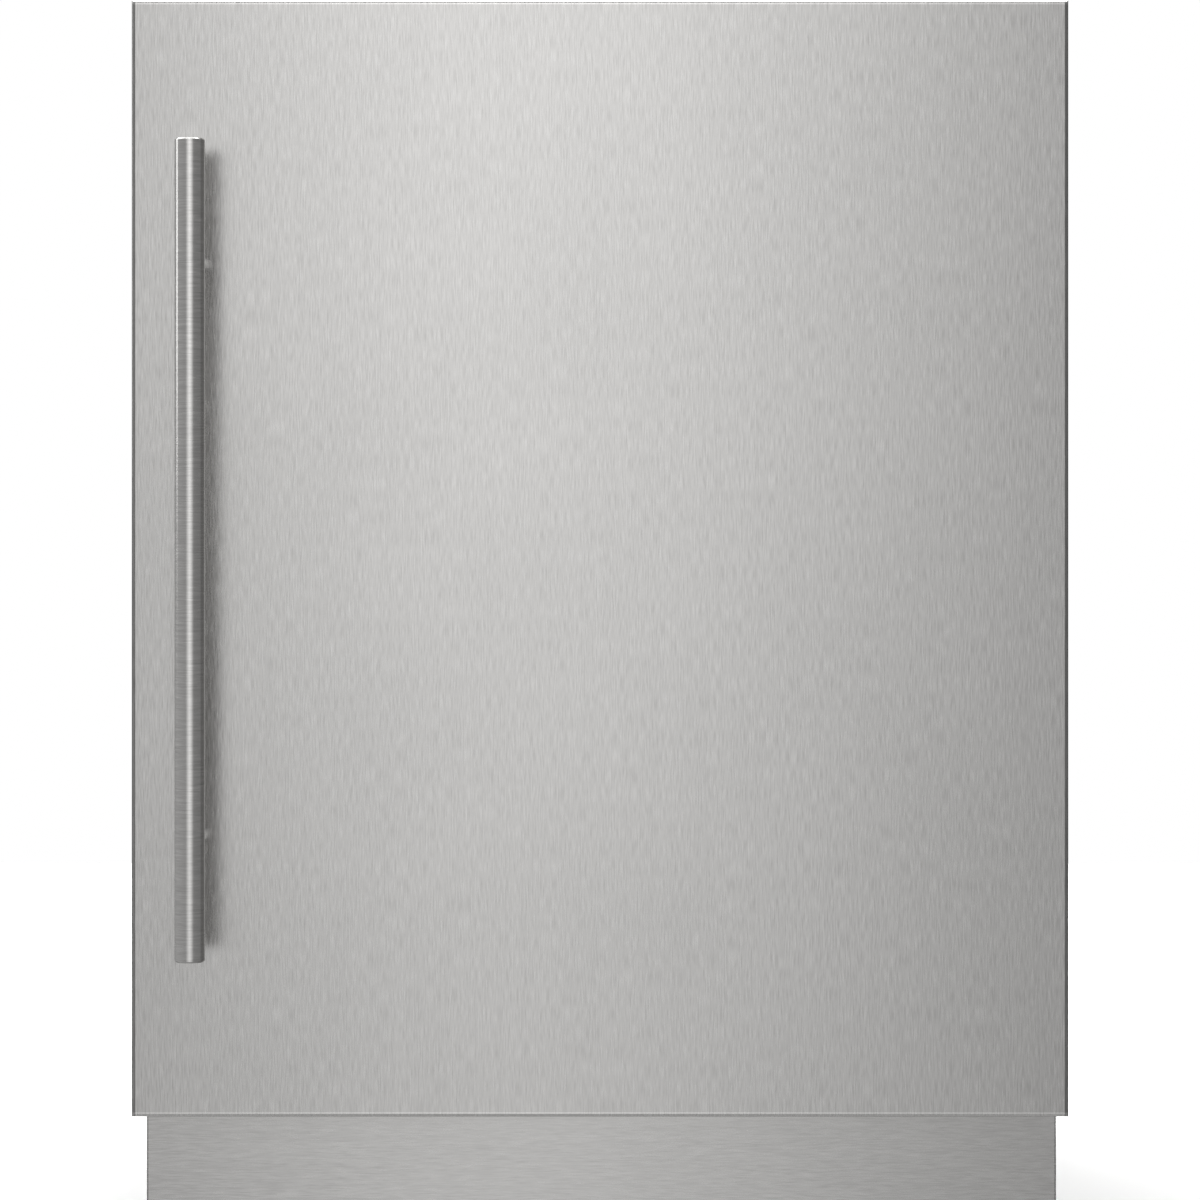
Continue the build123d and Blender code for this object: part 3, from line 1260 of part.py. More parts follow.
def refrigerant_lines():
    """Discharge, liquid and suction lines and the capillary."""
    columns, rows = condenser_places()
    front = CONDENSER_Y[0] - TUBE_PROUD
    ahead = front - LINE_STANDOFF
    header = PAN_TOP + SHROUD_H + LINE_HEADER_GAP
    riser = COMPRESSOR_X + COMPRESSOR_R + DISCHARGE_OFFSET
    port = COMPRESSOR_TOP - PORT_DROP
    discharge = line(
        [
            (COMPRESSOR_X, COMPRESSOR_Y, port),
            (riser, COMPRESSOR_Y, port),
            (riser, COMPRESSOR_Y, header),
            (columns[0], COMPRESSOR_Y, header),
            (columns[0], ahead, header),
            (columns[0], ahead, rows[-1]),
            (columns[0], front, rows[-1]),
        ],
        LINE_R,
    )
    floor = PAN_TOP + LINE_FLOOR_GAP
    outside = CONDENSER_X[1] + LINE_SIDE_GAP
    liquid = line(
        [
            (columns[1], front, rows[-1]),
            (columns[1], ahead, rows[-1]),
            (outside, ahead, rows[-1]),
            (outside, ahead, floor),
            (DRIER_X, ahead, floor),
            (DRIER_X, DRIER_Y, floor),
            (DRIER_X, DRIER_Y, DRIER_Z[0]),
        ],
        LINE_R,
    )
    side = (riser + SUCTION_OFFSET, COMPRESSOR_Y - SUCTION_SIDE)
    low = COMPRESSOR_BOTTOM + SUCTION_LIFT
    suction = line(
        [(*side, TUNNEL_ROOF), (*side, low), (COMPRESSOR_X, side[1], low)],
        LINE_R,
    )
    capillary = rod("Z", CAPILLARY_R, (DRIER_Z[1], TUNNEL_ROOF), (DRIER_X, DRIER_Y))
    can = compressor_body()
    middle = (COMPRESSOR_X, COMPRESSOR_Y)
    inside = rod("Z", COMPRESSOR_R - PORT_INSET, (0, COMPRESSOR_TOP), middle)
    outlet = (discharge - can - inside).solids().sort_by(SortBy.VOLUME)[-1]
    inlet = (suction - can - inside).solids().sort_by(SortBy.VOLUME)[-1]
    return Compound(children=[outlet, liquid, inlet, capillary])


def machine_cover():
    """Louvred sheet over the lower back."""
    sheet = block(
        both(CAB_INSIDE - SHEET_FIT),
        (Y_SHEET - COVER_SHEET_T, Y_SHEET),
        (PAN_TOP, TUNNEL_ROOF - SHEET_FIT),
    )
    skin = (Y_SHEET - COVER_SHEET_T, Y_SHEET)
    for x in LOUVRE_X:
        for row in range(LOUVRE_ROWS):
            slot = around(BASE_Z + LOUVRE_FIRST + row * LOUVRE_PITCH, LOUVRE_H)
            sheet -= block(around(x, LOUVRE_W), skin, slot)
    sheet -= block(around(INLET_X, INLET_BODY[0]), skin, around(INLET_Z, INLET_BODY[2]))
    return sheet - cover_screw_holes()


def cover_screws():
    """Six pan-head screws of the machine cover."""
    head = (Y_SHEET, Y_SHEET + COVER_HEAD_T)
    shank = (Y_SHEET - COVER_SCREW_DEPTH, Y_SHEET)
    return Compound(
        children=[
            rod("Y", COVER_SCREW_R, shank, at) + rod("Y", COVER_HEAD_R, head, at)
            for at in COVER_SCREW_PLACES
        ]
    )


def power_inlet():
    """Three-blade appliance inlet in the machine cover."""
    front = Y_SHEET + INLET_FLANGE[1]
    flange = block(
        around(INLET_X, INLET_FLANGE[0]), (Y_SHEET, front), around(INLET_Z, INLET_FLANGE[2])
    )
    flange = fillet(flange.edges().filter_by(Axis.Y), INLET_FLANGE_R)
    body = block(
        around(INLET_X, INLET_BODY[0] - 2 * INLET_FIT),
        (front - INLET_BODY[1], front),
        around(INLET_Z, INLET_BODY[2] - 2 * INLET_FIT),
    )
    socket = block(
        around(INLET_X, INLET_BODY[0] - 2 * INLET_WALL),
        (front - INLET_SOCKET_DEPTH, front),
        around(INLET_Z, INLET_BODY[2] - 2 * INLET_WALL),
    )
    inlet = flange + body - socket
    depth = (front - INLET_SOCKET_DEPTH, front - INLET_SOCKET_DEPTH + INLET_BLADE[1])
    for column, way in ((-1, -1), (0, 1), (1, -1)):
        x = INLET_X + column * INLET_BLADE_PITCH
        height = around(INLET_Z + way * INLET_BLADE_LIFT, INLET_BLADE[2])
        inlet += block(around(x, INLET_BLADE[0]), depth, height)
    return inlet


# ---- write every sub-part ----
NODES = {
    "door_panel": door_panel,
    "panel_core": panel_core,
    "panel_rails": panel_rails,
    "door_shell": door_shell,
    "door_foam": door_foam,
    "door_liner": door_liner,
    "door_gasket": door_gasket,
    "hinge_bushings": hinge_bushings,
    "handle_bar": handle_bar,
    "handle_posts": handle_posts,
    "handle_screws": handle_screws,
    "lower_bin": lambda: door_bin(LOWER_BIN_Z),
    "upper_bin": lambda: door_bin(UPPER_BIN_Z),
    "outer_wrapper": outer_wrapper,
    "underbody_panel": underbody_panel,
    "foam_insulation": foam_insulation,
    "inner_liner": inner_liner,
    "front_frame": front_frame,
    "rear_panel": rear_panel,
    "base_pan": base_pan,
    "kick_plate": kick_plate,
    "anchor_tabs": anchor_tabs,
    "top_hinge_bracket": lambda: hinge_bracket(
        (CABINET_TOP, CABINET_TOP + HINGE_PLATE_T)
    ),
    "bottom_hinge_bracket": lambda: hinge_bracket(
        (DOOR_BOTTOM - HINGE_PLATE_T, DOOR_BOTTOM)
    ),
    "hinge_pins": hinge_pins,
    "hinge_screws": hinge_screws,
    "shelf_ladders": shelf_ladders,
    "upper_shelf_frame": lambda: shelf_frame(UPPER_SHELF_FRONT, UPPER_SHELF_Z),
    "upper_shelf_glass": lambda: shelf_glass(UPPER_SHELF_FRONT, UPPER_SHELF_Z),
    "lower_shelf_frame": lambda: shelf_frame(LOWER_SHELF_FRONT, LOWER_SHELF_Z),
    "lower_shelf_glass": lambda: shelf_glass(LOWER_SHELF_FRONT, LOWER_SHELF_Z),
    "crisper_rails": crisper_rails,
    "crisper_bin": crisper_bin,
    "control_housing": control_housing,
    "light_bar": light_bar,
    "evaporator_cover": evaporator_cover,
    "evaporator_coil": evaporator_coil,
    "evaporator_fan_motor": evaporator_fan_motor,
    "evaporator_fan": evaporator_fan,
    "drain_tube": drain_tube,
    "drain_pan": drain_pan,
    "compressor": compressor,
    "compressor_mounts": compressor_mounts,
    "relay_cover": relay_cover,
    "condenser_fan_shroud": condenser_fan_shroud,
    "condenser_fan_motor": condenser_fan_motor,
    "condenser_fan": condenser_fan,
    "condenser_coil": condenser_coil,
    "filter_drier": filter_drier,
    "refrigerant_lines": refrigerant_lines,
    "machine_cover": machine_cover,
    "cover_screws": cover_screws,
    "power_inlet": power_inlet,
}

os.makedirs("parts", exist_ok=True)
for name, make in NODES.items():
    export_step(make(), f"parts/{name}.step")
for number, name in enumerate(BUTTON_NAMES):
    export_step(push_button(number), f"parts/{name}.step")
for name, place in LEG_PLACES.items():
    export_step(levelling_leg(place), f"parts/{name}.step")
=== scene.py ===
import math

import bmesh
import bpy
from mathutils import Matrix, Vector


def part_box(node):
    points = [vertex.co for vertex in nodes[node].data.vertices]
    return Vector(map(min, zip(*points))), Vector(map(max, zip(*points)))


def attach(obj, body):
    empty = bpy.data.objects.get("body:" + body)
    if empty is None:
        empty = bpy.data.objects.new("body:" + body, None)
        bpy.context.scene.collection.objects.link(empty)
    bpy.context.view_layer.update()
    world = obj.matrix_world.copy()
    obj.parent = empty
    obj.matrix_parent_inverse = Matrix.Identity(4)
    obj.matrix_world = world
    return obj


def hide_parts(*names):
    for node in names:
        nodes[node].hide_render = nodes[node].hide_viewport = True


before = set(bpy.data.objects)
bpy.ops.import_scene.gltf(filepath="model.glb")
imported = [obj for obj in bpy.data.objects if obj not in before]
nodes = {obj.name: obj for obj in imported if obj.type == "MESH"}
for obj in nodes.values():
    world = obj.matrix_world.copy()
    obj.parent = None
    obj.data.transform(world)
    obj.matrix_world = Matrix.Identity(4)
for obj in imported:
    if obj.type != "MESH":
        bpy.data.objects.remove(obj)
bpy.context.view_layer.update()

# The whole appliance stands in its own frame: the door faces -Y, the handle is at -X and the
# hinge at +X. The camera stands level in front of the door, a little right of its middle and
# above the middle of the view, so the view is shifted back onto the door.
door_low, door_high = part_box("door_panel")
CAMERA_AWAY = 2.4  # from the door's face
CAMERA_X = 0.030
CAMERA_Z = 0.500
VIEW_SIDE = 0.7681  # what the view spans at the door's face
LENS = 85.0

camera_data = bpy.data.cameras.new("camera")
camera = bpy.data.objects.new("camera", camera_data)
bpy.context.scene.collection.objects.link(camera)
bpy.context.scene.camera = camera
camera.location = (CAMERA_X, door_low.y - CAMERA_AWAY, CAMERA_Z)
camera.rotation_euler = (math.radians(90), 0, 0)
camera_data.lens = LENS
camera_data.sensor_width = LENS * VIEW_SIDE / CAMERA_AWAY
camera_data.shift_x = (door_low.x + door_high.x) / 2 / VIEW_SIDE - CAMERA_X / VIEW_SIDE
camera_data.shift_y = (door_high.z - VIEW_SIDE / 2 - CAMERA_Z) / VIEW_SIDE
camera_data.clip_end = 50.0

# A plain studio. The board on the floor is lit from overhead until it is as white as what lies
# behind it. The steel mirrors a soft box in front of the door, hottest along its middle and
# near its top, in a grey room that is a little lighter on the left.
SCENE = bpy.context.scene
SCENE.view_settings.view_transform = "Standard"
ROOM_GREY = 0.33
ROOM_TILT = 0.09  # lighter on the left by this much, darker on the right
FLOOR_SIZE = 5.0
BOX_Y = door_low.y - 1.6
BOX_X = -0.12
BOX_HALF = 0.86  # its light fades to nothing this far either side of its middle
BOX_Z = (-0.7, 1.9)
BOX_RADIANCE = (0.72, 0.42)  # over the room's at the floor, and what each metre adds


def studio_world():
    """White to the camera, a grey room to everything that the metal mirrors."""
    world = bpy.data.worlds.new("studio")
    SCENE.world = world
    world.use_nodes = True
    tree = world.node_tree
    tree.nodes.clear()
    out = tree.nodes.new("ShaderNodeOutputWorld")
    room = tree.nodes.new("ShaderNodeBackground")
    white = tree.nodes.new("ShaderNodeBackground")
    pick = tree.nodes.new("ShaderNodeMixShader")
    rays = tree.nodes.new("ShaderNodeLightPath")
    direction = tree.nodes.new("ShaderNodeTexCoord")
    axes = tree.nodes.new("ShaderNodeSeparateXYZ")
    tilt = tree.nodes.new("ShaderNodeMath")
    tilt.operation = "MULTIPLY_ADD"
    tilt.inputs[1].default_value = -ROOM_TILT
    tilt.inputs[2].default_value = ROOM_GREY
    white.inputs["Color"].default_value = (1, 1, 1, 1)
    tree.links.new(direction.outputs["Generated"], axes.inputs[0])
    tree.links.new(axes.outputs["X"], tilt.inputs[0])
    tree.links.new(tilt.outputs[0], room.inputs["Color"])
    tree.links.new(rays.outputs["Is Camera Ray"], pick.inputs[0])
    tree.links.new(room.outputs[0], pick.inputs[1])
    tree.links.new(white.outputs[0], pick.inputs[2])
    tree.links.new(pick.outputs[0], out.inputs["Surface"])


def soft_box(name, place, target, width, height, radiance):
    """Rectangular area light that looks at a target, as bright as it is told to look."""
    data = bpy.data.lights.new(name, "AREA")
    data.shape = "RECTANGLE"
    data.size, data.size_y = width, height
    data.energy = radiance * math.pi * width * height
    light = bpy.data.objects.new(name, data)
    light.location = place
    aim = Vector(target) - Vector(place)
    light.rotation_euler = aim.to_track_quat("-Z", "Y").to_euler()
    light.visible_camera = False
    SCENE.collection.objects.link(light)


def front_box():
    """Soft box before the door, brighter towards its middle and its top."""
    grid = bmesh.new()
    lay = Matrix.Translation((BOX_X, BOX_Y, sum(BOX_Z) / 2)) @ Matrix.Rotation(math.pi / 2, 4, "X")
    bmesh.ops.create_grid(grid, x_segments=1, y_segments=1, size=1.0, matrix=lay @ Matrix.Diagonal(
        (BOX_HALF, (BOX_Z[1] - BOX_Z[0]) / 2, 1, 1)
    ))
    mesh = bpy.data.meshes.new("front_box")
    grid.to_mesh(mesh)
    grid.free()
    box = bpy.data.objects.new("front_box", mesh)
    SCENE.collection.objects.link(box)
    box.visible_camera = False
    material = bpy.data.materials.new("front_box")
    material.use_nodes = True
    tree = material.node_tree
    tree.nodes.clear()
    place = tree.nodes.new("ShaderNodeTexCoord")
    axes = tree.nodes.new("ShaderNodeSeparateXYZ")
    tree.links.new(place.outputs["Object"], axes.inputs[0])

    def step(operation, value, *numbers):
        node = tree.nodes.new("ShaderNodeMath")
        node.operation = operation
        tree.links.new(value, node.inputs[0])
        for socket, number in zip(node.inputs[1:], numbers):
            socket.default_value = number
        return node.outputs[0]

    across = step("ABSOLUTE", step("SUBTRACT", axes.outputs["X"], BOX_X))
    fade = step("MULTIPLY_ADD", across, -1 / BOX_HALF, 1.0)
    rise = step("MULTIPLY_ADD", axes.outputs["Z"], BOX_RADIANCE[1], BOX_RADIANCE[0])
    both = tree.nodes.new("ShaderNodeMath")
    both.operation = "MULTIPLY_ADD"
    both.inputs[2].default_value = ROOM_GREY
    tree.links.new(fade, both.inputs[0])
    tree.links.new(rise, both.inputs[1])
    glow = tree.nodes.new("ShaderNodeEmission")
    out = tree.nodes.new("ShaderNodeOutputMaterial")
    tree.links.new(both.outputs[0], glow.inputs["Strength"])
    tree.links.new(glow.outputs[0], out.inputs["Surface"])
    mesh.materials.append(material)


SOFT_BOXES = (  # name, place, target, width, height, radiance
    ("overhead", (0, 1.6, 2.4), (0, 1.6, 0), 3.2, 3.0, 3.2),
    ("top_front", (0, -0.4, 2.0), (0, -0.4, 0), 1.6, 0.5, 2.0),
    ("left_strip", (-1.6, 0.12, 1.25), (-0.26, -0.3, 0.7), 0.34, 1.5, 1.8),
    ("side_-1", (-1.05, 1.0, 1.3), (-1.05, 1.0, 0.3), 0.8, 2.0, 3.8),
    ("side_1", (1.05, 1.0, 1.3), (1.05, 1.0, 0.3), 0.8, 2.0, 3.8),
)
studio_world()
front_box()
for box in SOFT_BOXES:
    soft_box(*box)


# ---- floor ----
# The floor is a pale sweep of matt board. It isn't mirrored in the metal, so that the bar and
# the door mirror only the soft box and the room.
class Finish:
    """A procedural material being built round one principled shader."""

    def __init__(self, name, colour, metallic=0.0, roughness=0.5):
        self.material = bpy.data.materials.new(name)
        self.material.use_nodes = True
        self.tree = self.material.node_tree
        self.shader = self.tree.nodes["Principled BSDF"]
        self.set("Base Color", (*colour, 1.0))
        self.set("Metallic", metallic)
        self.set("Roughness", roughness)
        self.last_normal = None

    def set(self, socket, value):
        self.shader.inputs[socket].default_value = value

    def add(self, kind, **values):
        node = self.tree.nodes.new(kind)
        for key, value in values.items():
            setattr(node, key, value)
        return node

    def join(self, out, into):
        self.tree.links.new(out, into)

    def coordinates(self, scale):
        """Object coordinates in metres, stretched along each axis."""
        source = self.add("ShaderNodeTexCoord")
        mapping = self.add("ShaderNodeMapping")
        mapping.inputs["Scale"].default_value = scale
        self.join(source.outputs["Object"], mapping.inputs["Vector"])
        return mapping.outputs["Vector"]

    def noise(self, scale, detail=3.0):
        """Noise whose scale may differ along X, Y and Z."""
        texture = self.add("ShaderNodeTexNoise")
        texture.inputs["Scale"].default_value = 1.0
        texture.inputs["Detail"].default_value = detail
        texture.inputs["Roughness"].default_value = 0.5
        self.join(self.coordinates(scale), texture.inputs["Vector"])
        return texture.outputs["Fac"]

    def cells(self, scale):
        """Voronoi cells."""
        texture = self.add("ShaderNodeTexVoronoi", feature="F1")
        texture.inputs["Scale"].default_value = 1.0
        self.join(self.coordinates(scale), texture.inputs["Vector"])
        return texture.outputs

    def spread(self, fac, low, high, start=0.3, stop=0.7):
        """Values between low and high that follow a pattern."""
        ranged = self.add("ShaderNodeMapRange")
        self.join(fac, ranged.inputs["Value"])
        limits = {"From Min": start, "From Max": stop, "To Min": low, "To Max": high}
        for key, value in limits.items():
            ranged.inputs[key].default_value = value
        return ranged.outputs["Result"]

    def colours(self, fac, dark, light, start=0.3, stop=0.7):
        """Colours between dark and light that follow a pattern."""
        ramp = self.add("ShaderNodeValToRGB")
        ramp.color_ramp.elements[0].position = start
        ramp.color_ramp.elements[1].position = stop
        ramp.color_ramp.elements[0].color = (*dark, 1)
        ramp.color_ramp.elements[1].color = (*light, 1)
        self.join(fac, ramp.inputs["Fac"])
        return ramp.outputs["Color"]

    def multiply(self, first, second):
        """Two colour patterns on each other."""
        mix = self.add("ShaderNodeMix", data_type="RGBA", blend_type="MULTIPLY")
        mix.inputs["Factor"].default_value = 1.0
        self.join(first, mix.inputs[6])
        self.join(second, mix.inputs[7])
        return mix.outputs[2]

    def paint(self, colour):
        self.join(colour, self.shader.inputs["Base Color"])

    def roughen(self, value):
        self.join(value, self.shader.inputs["Roughness"])

    def bump(self, fac, height, strength=1.0):
        """Relief of a pattern, its height in metres; several add up."""
        relief = self.add("ShaderNodeBump")
        relief.inputs["Strength"].default_value = strength
        relief.inputs["Distance"].default_value = height
        self.join(fac, relief.inputs["Height"])
        if self.last_normal is not None:
            self.join(self.last_normal, relief.inputs["Normal"])
        self.last_normal = relief.outputs["Normal"]
        self.join(self.last_normal, self.shader.inputs["Normal"])

    def brushed(self, across, amount):
        """Highlights spread across the scratches, along one axis of the piece."""
        self.set("Anisotropic", amount)
        turn = self.add("ShaderNodeVectorTransform", vector_type="VECTOR")
        turn.convert_from, turn.convert_to = "OBJECT", "WORLD"
        turn.inputs["Vector"].default_value = across
        self.join(turn.outputs["Vector"], self.shader.inputs["Tangent"])


def dress(finish, *names):
    """Puts one finish on carried-over nodes."""
    for name in names:
        mesh = nodes[name].data
        mesh.materials.clear()
        mesh.materials.append(finish.material)


floor_mesh = bmesh.new()
bmesh.ops.create_grid(floor_mesh, x_segments=8, y_segments=8, size=FLOOR_SIZE / 2)
floor_data = bpy.data.meshes.new("floor")
floor_mesh.to_mesh(floor_data)
floor_mesh.free()
floor = bpy.data.objects.new("floor", floor_data)
SCENE.collection.objects.link(floor)
floor_finish = Finish("pale_floor", (0.86, 0.86, 0.855), roughness=0.85)
floor_finish.paint(
    floor_finish.colours(floor_finish.noise((3, 3, 3)), (0.85, 0.85, 0.845), (0.87, 0.87, 0.865))
)
floor_data.materials.append(floor_finish.material)
floor.visible_glossy = False

# ---- the stainless front ----
# The door's front and the toe kick are sheets of 304 stainless with a number 4 brushed grain:
# upright on the door, level on the kick. The bar is tube, brushed round its girth.
STEEL_DARK = (0.470, 0.464, 0.455)
STEEL_LIGHT = (0.690, 0.682, 0.671)
GRAIN_ACROSS = 1150.0
GRAIN_ALONG = 85.0
FOLD_LIGHT_SPAN = 0.005  # painted highlights and shade of the folds lie within this of the sheet's edges


def brushed_stainless(name, along, across, roughness, anisotropy, contrast=1.0, bright=1.0):
    """Stainless whose scratches run along some of its axes and whose highlights spread across."""
    middle = [(dark + light) / 2 * bright for dark, light in zip(STEEL_DARK, STEEL_LIGHT)]
    half = [(light - dark) / 2 * contrast for dark, light in zip(STEEL_DARK, STEEL_LIGHT)]
    finish = Finish(name, middle, metallic=1.0, roughness=roughness)
    fine = [GRAIN_ALONG if axis in along else GRAIN_ACROSS for axis in "XYZ"]
    coarse = [GRAIN_ALONG / 12 if axis in along else GRAIN_ACROSS / 4 for axis in "XYZ"]
    scratches = finish.noise(fine, detail=2.0)
    streaks = finish.noise(coarse, detail=3.0)
    clouds = finish.noise((7, 7, 7), detail=2.0)
    dark = [tone - step for tone, step in zip(middle, half)]
    light = [tone + step for tone, step in zip(middle, half)]
    colour = finish.colours(scratches, dark, light, 0.25, 0.75)
    tint = finish.colours(streaks, (0.965, 0.965, 0.965), (1, 1, 1), 0.3, 0.7)
    finish.paint(finish.multiply(colour, tint))
    mixed = finish.add("ShaderNodeMath", operation="MULTIPLY_ADD")
    finish.join(finish.spread(scratches, -0.03, 0.03), mixed.inputs[0])
    mixed.inputs[1].default_value = 1.0
    finish.join(finish.spread(clouds, roughness - 0.012, roughness + 0.012), mixed.inputs[2])
    finish.roughen(mixed.outputs[0])
    finish.bump(scratches, 0.000002, 0.3)
    finish.brushed(across, anisotropy)
    return finish


def paint_fold_light(finish, axis, edge, inward, painted_tones):
    """Paints highlight and shade into the steel's colour by its distance in from an edge, as
    (distance, tone) pairs.
    """
    place = finish.add("ShaderNodeTexCoord")
    axes = finish.add("ShaderNodeSeparateXYZ")
    away = finish.add("ShaderNodeMath", operation="MULTIPLY_ADD")
    away.inputs[1].default_value = inward / FOLD_LIGHT_SPAN
    away.inputs[2].default_value = -edge * inward / FOLD_LIGHT_SPAN
    ramp = finish.add("ShaderNodeValToRGB")
    finish.join(place.outputs["Object"], axes.inputs[0])
    finish.join(axes.outputs[axis], away.inputs[0])
    finish.join(away.outputs[0], ramp.inputs["Fac"])
    stops = ramp.color_ramp.elements
    stops[0].color = (painted_tones[0][1],) * 3 + (1,)
    stops[1].color = (1, 1, 1, 1)
    for distance, tone in painted_tones[1:]:
        stop = stops.new(distance / FOLD_LIGHT_SPAN)
        stop.color = (tone,) * 3 + (1,)
    colour = finish.shader.inputs["Base Color"].links[0].from_socket
    finish.paint(finish.multiply(colour, ramp.outputs["Color"]))


door_steel = brushed_stainless("upright_brushed_steel", "Z", (1, 0, 0), 0.25, 0.3)
# Painted light on the door's edges: bands of painted shade down both sides, a painted highlight
# along the bottom, and a dark line with a painted highlight under it along the top, where the
# rounded folds would mirror the studio.
for edge, inward in ((door_low.x, 1), (door_high.x, -1)):
    side_painted_shade = ((0, 0.45), (0.0007, 0.5), (0.0014, 0.78), (0.0022, 0.5), (0.0028, 1.0))
    paint_fold_light(door_steel, "X", edge, inward, side_painted_shade)
paint_fold_light(door_steel, "Z", door_low.z, 1, ((0, 1.2), (0.001, 1.6), (0.0026, 1.6), (0.003, 1.0)))
paint_fold_light(door_steel, "Z", door_high.z, -1, ((0, 0.5), (0.0007, 1.5), (0.0024, 1.4), (0.003, 1.0)))
dress(door_steel, "door_panel")

kick_low, kick_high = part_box("kick_plate")
kick_steel = brushed_stainless("level_brushed_steel", "X", (0, 0, 1), 0.25, 0.3, contrast=0.7)
# Thin bands of painted shade darken both ends of the kick, where its rounded ends would mirror the
# dark sides of the room.
for edge, inward in ((kick_low.x, 1), (kick_high.x, -1)):
    paint_fold_light(kick_steel, "X", edge, inward, ((0, 0.4), (0.0006, 0.45), (0.0012, 1.0)))
dress(kick_steel, "kick_plate")
bar_steel = brushed_stainless("girth_brushed_steel", "XY", (0, 0, 1), 0.24, 0.5, 0.8, 1.12)
dress(bar_steel, "handle_bar", "handle_posts")

# ---- painted and zinc plated steel ----
# The cabinet's wrapper and the door's inner skin are powder coated; brackets are zinc plated,
# and the sheets that nobody sees are galvanised, with the flower of the zinc bath.


def powder_coat(name, colour):
    """Powder coat with its fine orange peel."""
    finish = Finish(name, colour, roughness=0.5)
    light = tuple(min(1, c * 1.12) for c in colour)
    finish.paint(finish.colours(finish.noise((260, 260, 260)), colour, light))
    finish.roughen(finish.spread(finish.noise((35, 35, 35)), 0.42, 0.54))
    finish.bump(finish.noise((900, 900, 900), detail=2.0), 0.00006, 0.6)
    return finish


def galvanised(name, colour):
    """Zinc flowers a few millimetres across."""
    finish = Finish(name, colour, metallic=0.85, roughness=0.42)
    flower = finish.cells((130, 130, 130))
    dark = tuple(c * 0.82 for c in colour)
    grey = finish.add("ShaderNodeRGBToBW")
    finish.join(flower["Color"], grey.inputs[0])
    finish.paint(finish.colours(grey.outputs[0], dark, colour, 0.1, 0.9))
    finish.roughen(finish.spread(grey.outputs[0], 0.34, 0.52, 0.1, 0.9))
    finish.bump(finish.noise((500, 500, 500)), 0.00002, 0.4)
    return finish


def zinc_plate():
    """Bright zinc with a faint blue passivation."""
    finish = Finish("zinc_plate", (0.66, 0.68, 0.70), metallic=1.0, roughness=0.3)
    clouds = finish.noise((60, 60, 60))
    finish.paint(finish.colours(clouds, (0.58, 0.60, 0.63), (0.72, 0.72, 0.71)))
    finish.roughen(finish.spread(finish.noise((300, 300, 300)), 0.24, 0.40))
    finish.bump(finish.noise((700, 700, 700)), 0.00001, 0.4)
    return finish


dress(powder_coat("charcoal_powder_coat", (0.075, 0.077, 0.08)), "outer_wrapper", "door_shell")
dress(powder_coat("grey_powder_coat", (0.36, 0.37, 0.38)), "machine_cover")
dress(
    galvanised("galvanised_sheet", (0.60, 0.62, 0.64)),
    "rear_panel", "base_pan", "underbody_panel", "condenser_fan_shroud",
)
dress(
    zinc_plate(),
    "top_hinge_bracket", "bottom_hinge_bracket", "hinge_pins", "hinge_screws", "anchor_tabs",
    "panel_rails", "handle_screws", "cover_screws",
)

# ---- plastics ----
# The liner is vacuum-formed styrene. The trims, bins, fans, keys and feet are injection moulded,
# the seal is extruded and welded at its corners, and the shelves are tempered glass.


def moulded(name, colour, roughness=0.42, grain=1400.0, height=0.00002):
    """Opaque moulded plastic with a fine leathery grain."""
    finish = Finish(name, colour, roughness=roughness)
    dark = tuple(c * 0.97 for c in colour)
    finish.paint(finish.colours(finish.noise((18, 18, 18)), dark, colour))
    finish.roughen(finish.spread(finish.noise((120, 120, 120)), roughness - 0.05, roughness + 0.05))
    finish.bump(finish.noise((grain, grain, grain), detail=2.0), height, 0.5)
    return finish


def clear_plastic():
    """Clear styrene, a little cloudy where it was gated."""
    finish = Finish("clear_styrene", (0.93, 0.97, 0.98), roughness=0.05)
    finish.set("Transmission Weight", 1.0)
    finish.set("IOR", 1.49)
    finish.paint(finish.colours(finish.noise((9, 9, 9)), (0.90, 0.95, 0.96), (0.95, 0.985, 0.99)))
    finish.roughen(finish.spread(finish.noise((40, 40, 40)), 0.03, 0.10))
    return finish


def shelf_glass():
    """Tempered float glass, green in its depth."""
    finish = Finish("shelf_glass", (0.86, 0.96, 0.93), roughness=0.01)
    finish.set("Transmission Weight", 1.0)
    finish.set("IOR", 1.52)
    finish.paint(finish.colours(finish.noise((6, 6, 6)), (0.84, 0.95, 0.92), (0.88, 0.97, 0.945)))
    finish.roughen(finish.spread(finish.noise((25, 25, 25)), 0.005, 0.03))
    return finish


def seal_rubber(name, colour, roughness):
    """Extruded or moulded rubber with a dull bloom."""
    finish = Finish(name, colour, roughness=roughness)
    light = tuple(c * 1.25 + 0.01 for c in colour)
    finish.paint(finish.colours(finish.noise((45, 45, 45)), colour, light))
    finish.roughen(finish.spread(finish.noise((200, 200, 200)), roughness - 0.07, roughness + 0.05))
    finish.bump(finish.noise((800, 800, 800)), 0.00003, 0.5)
    return finish


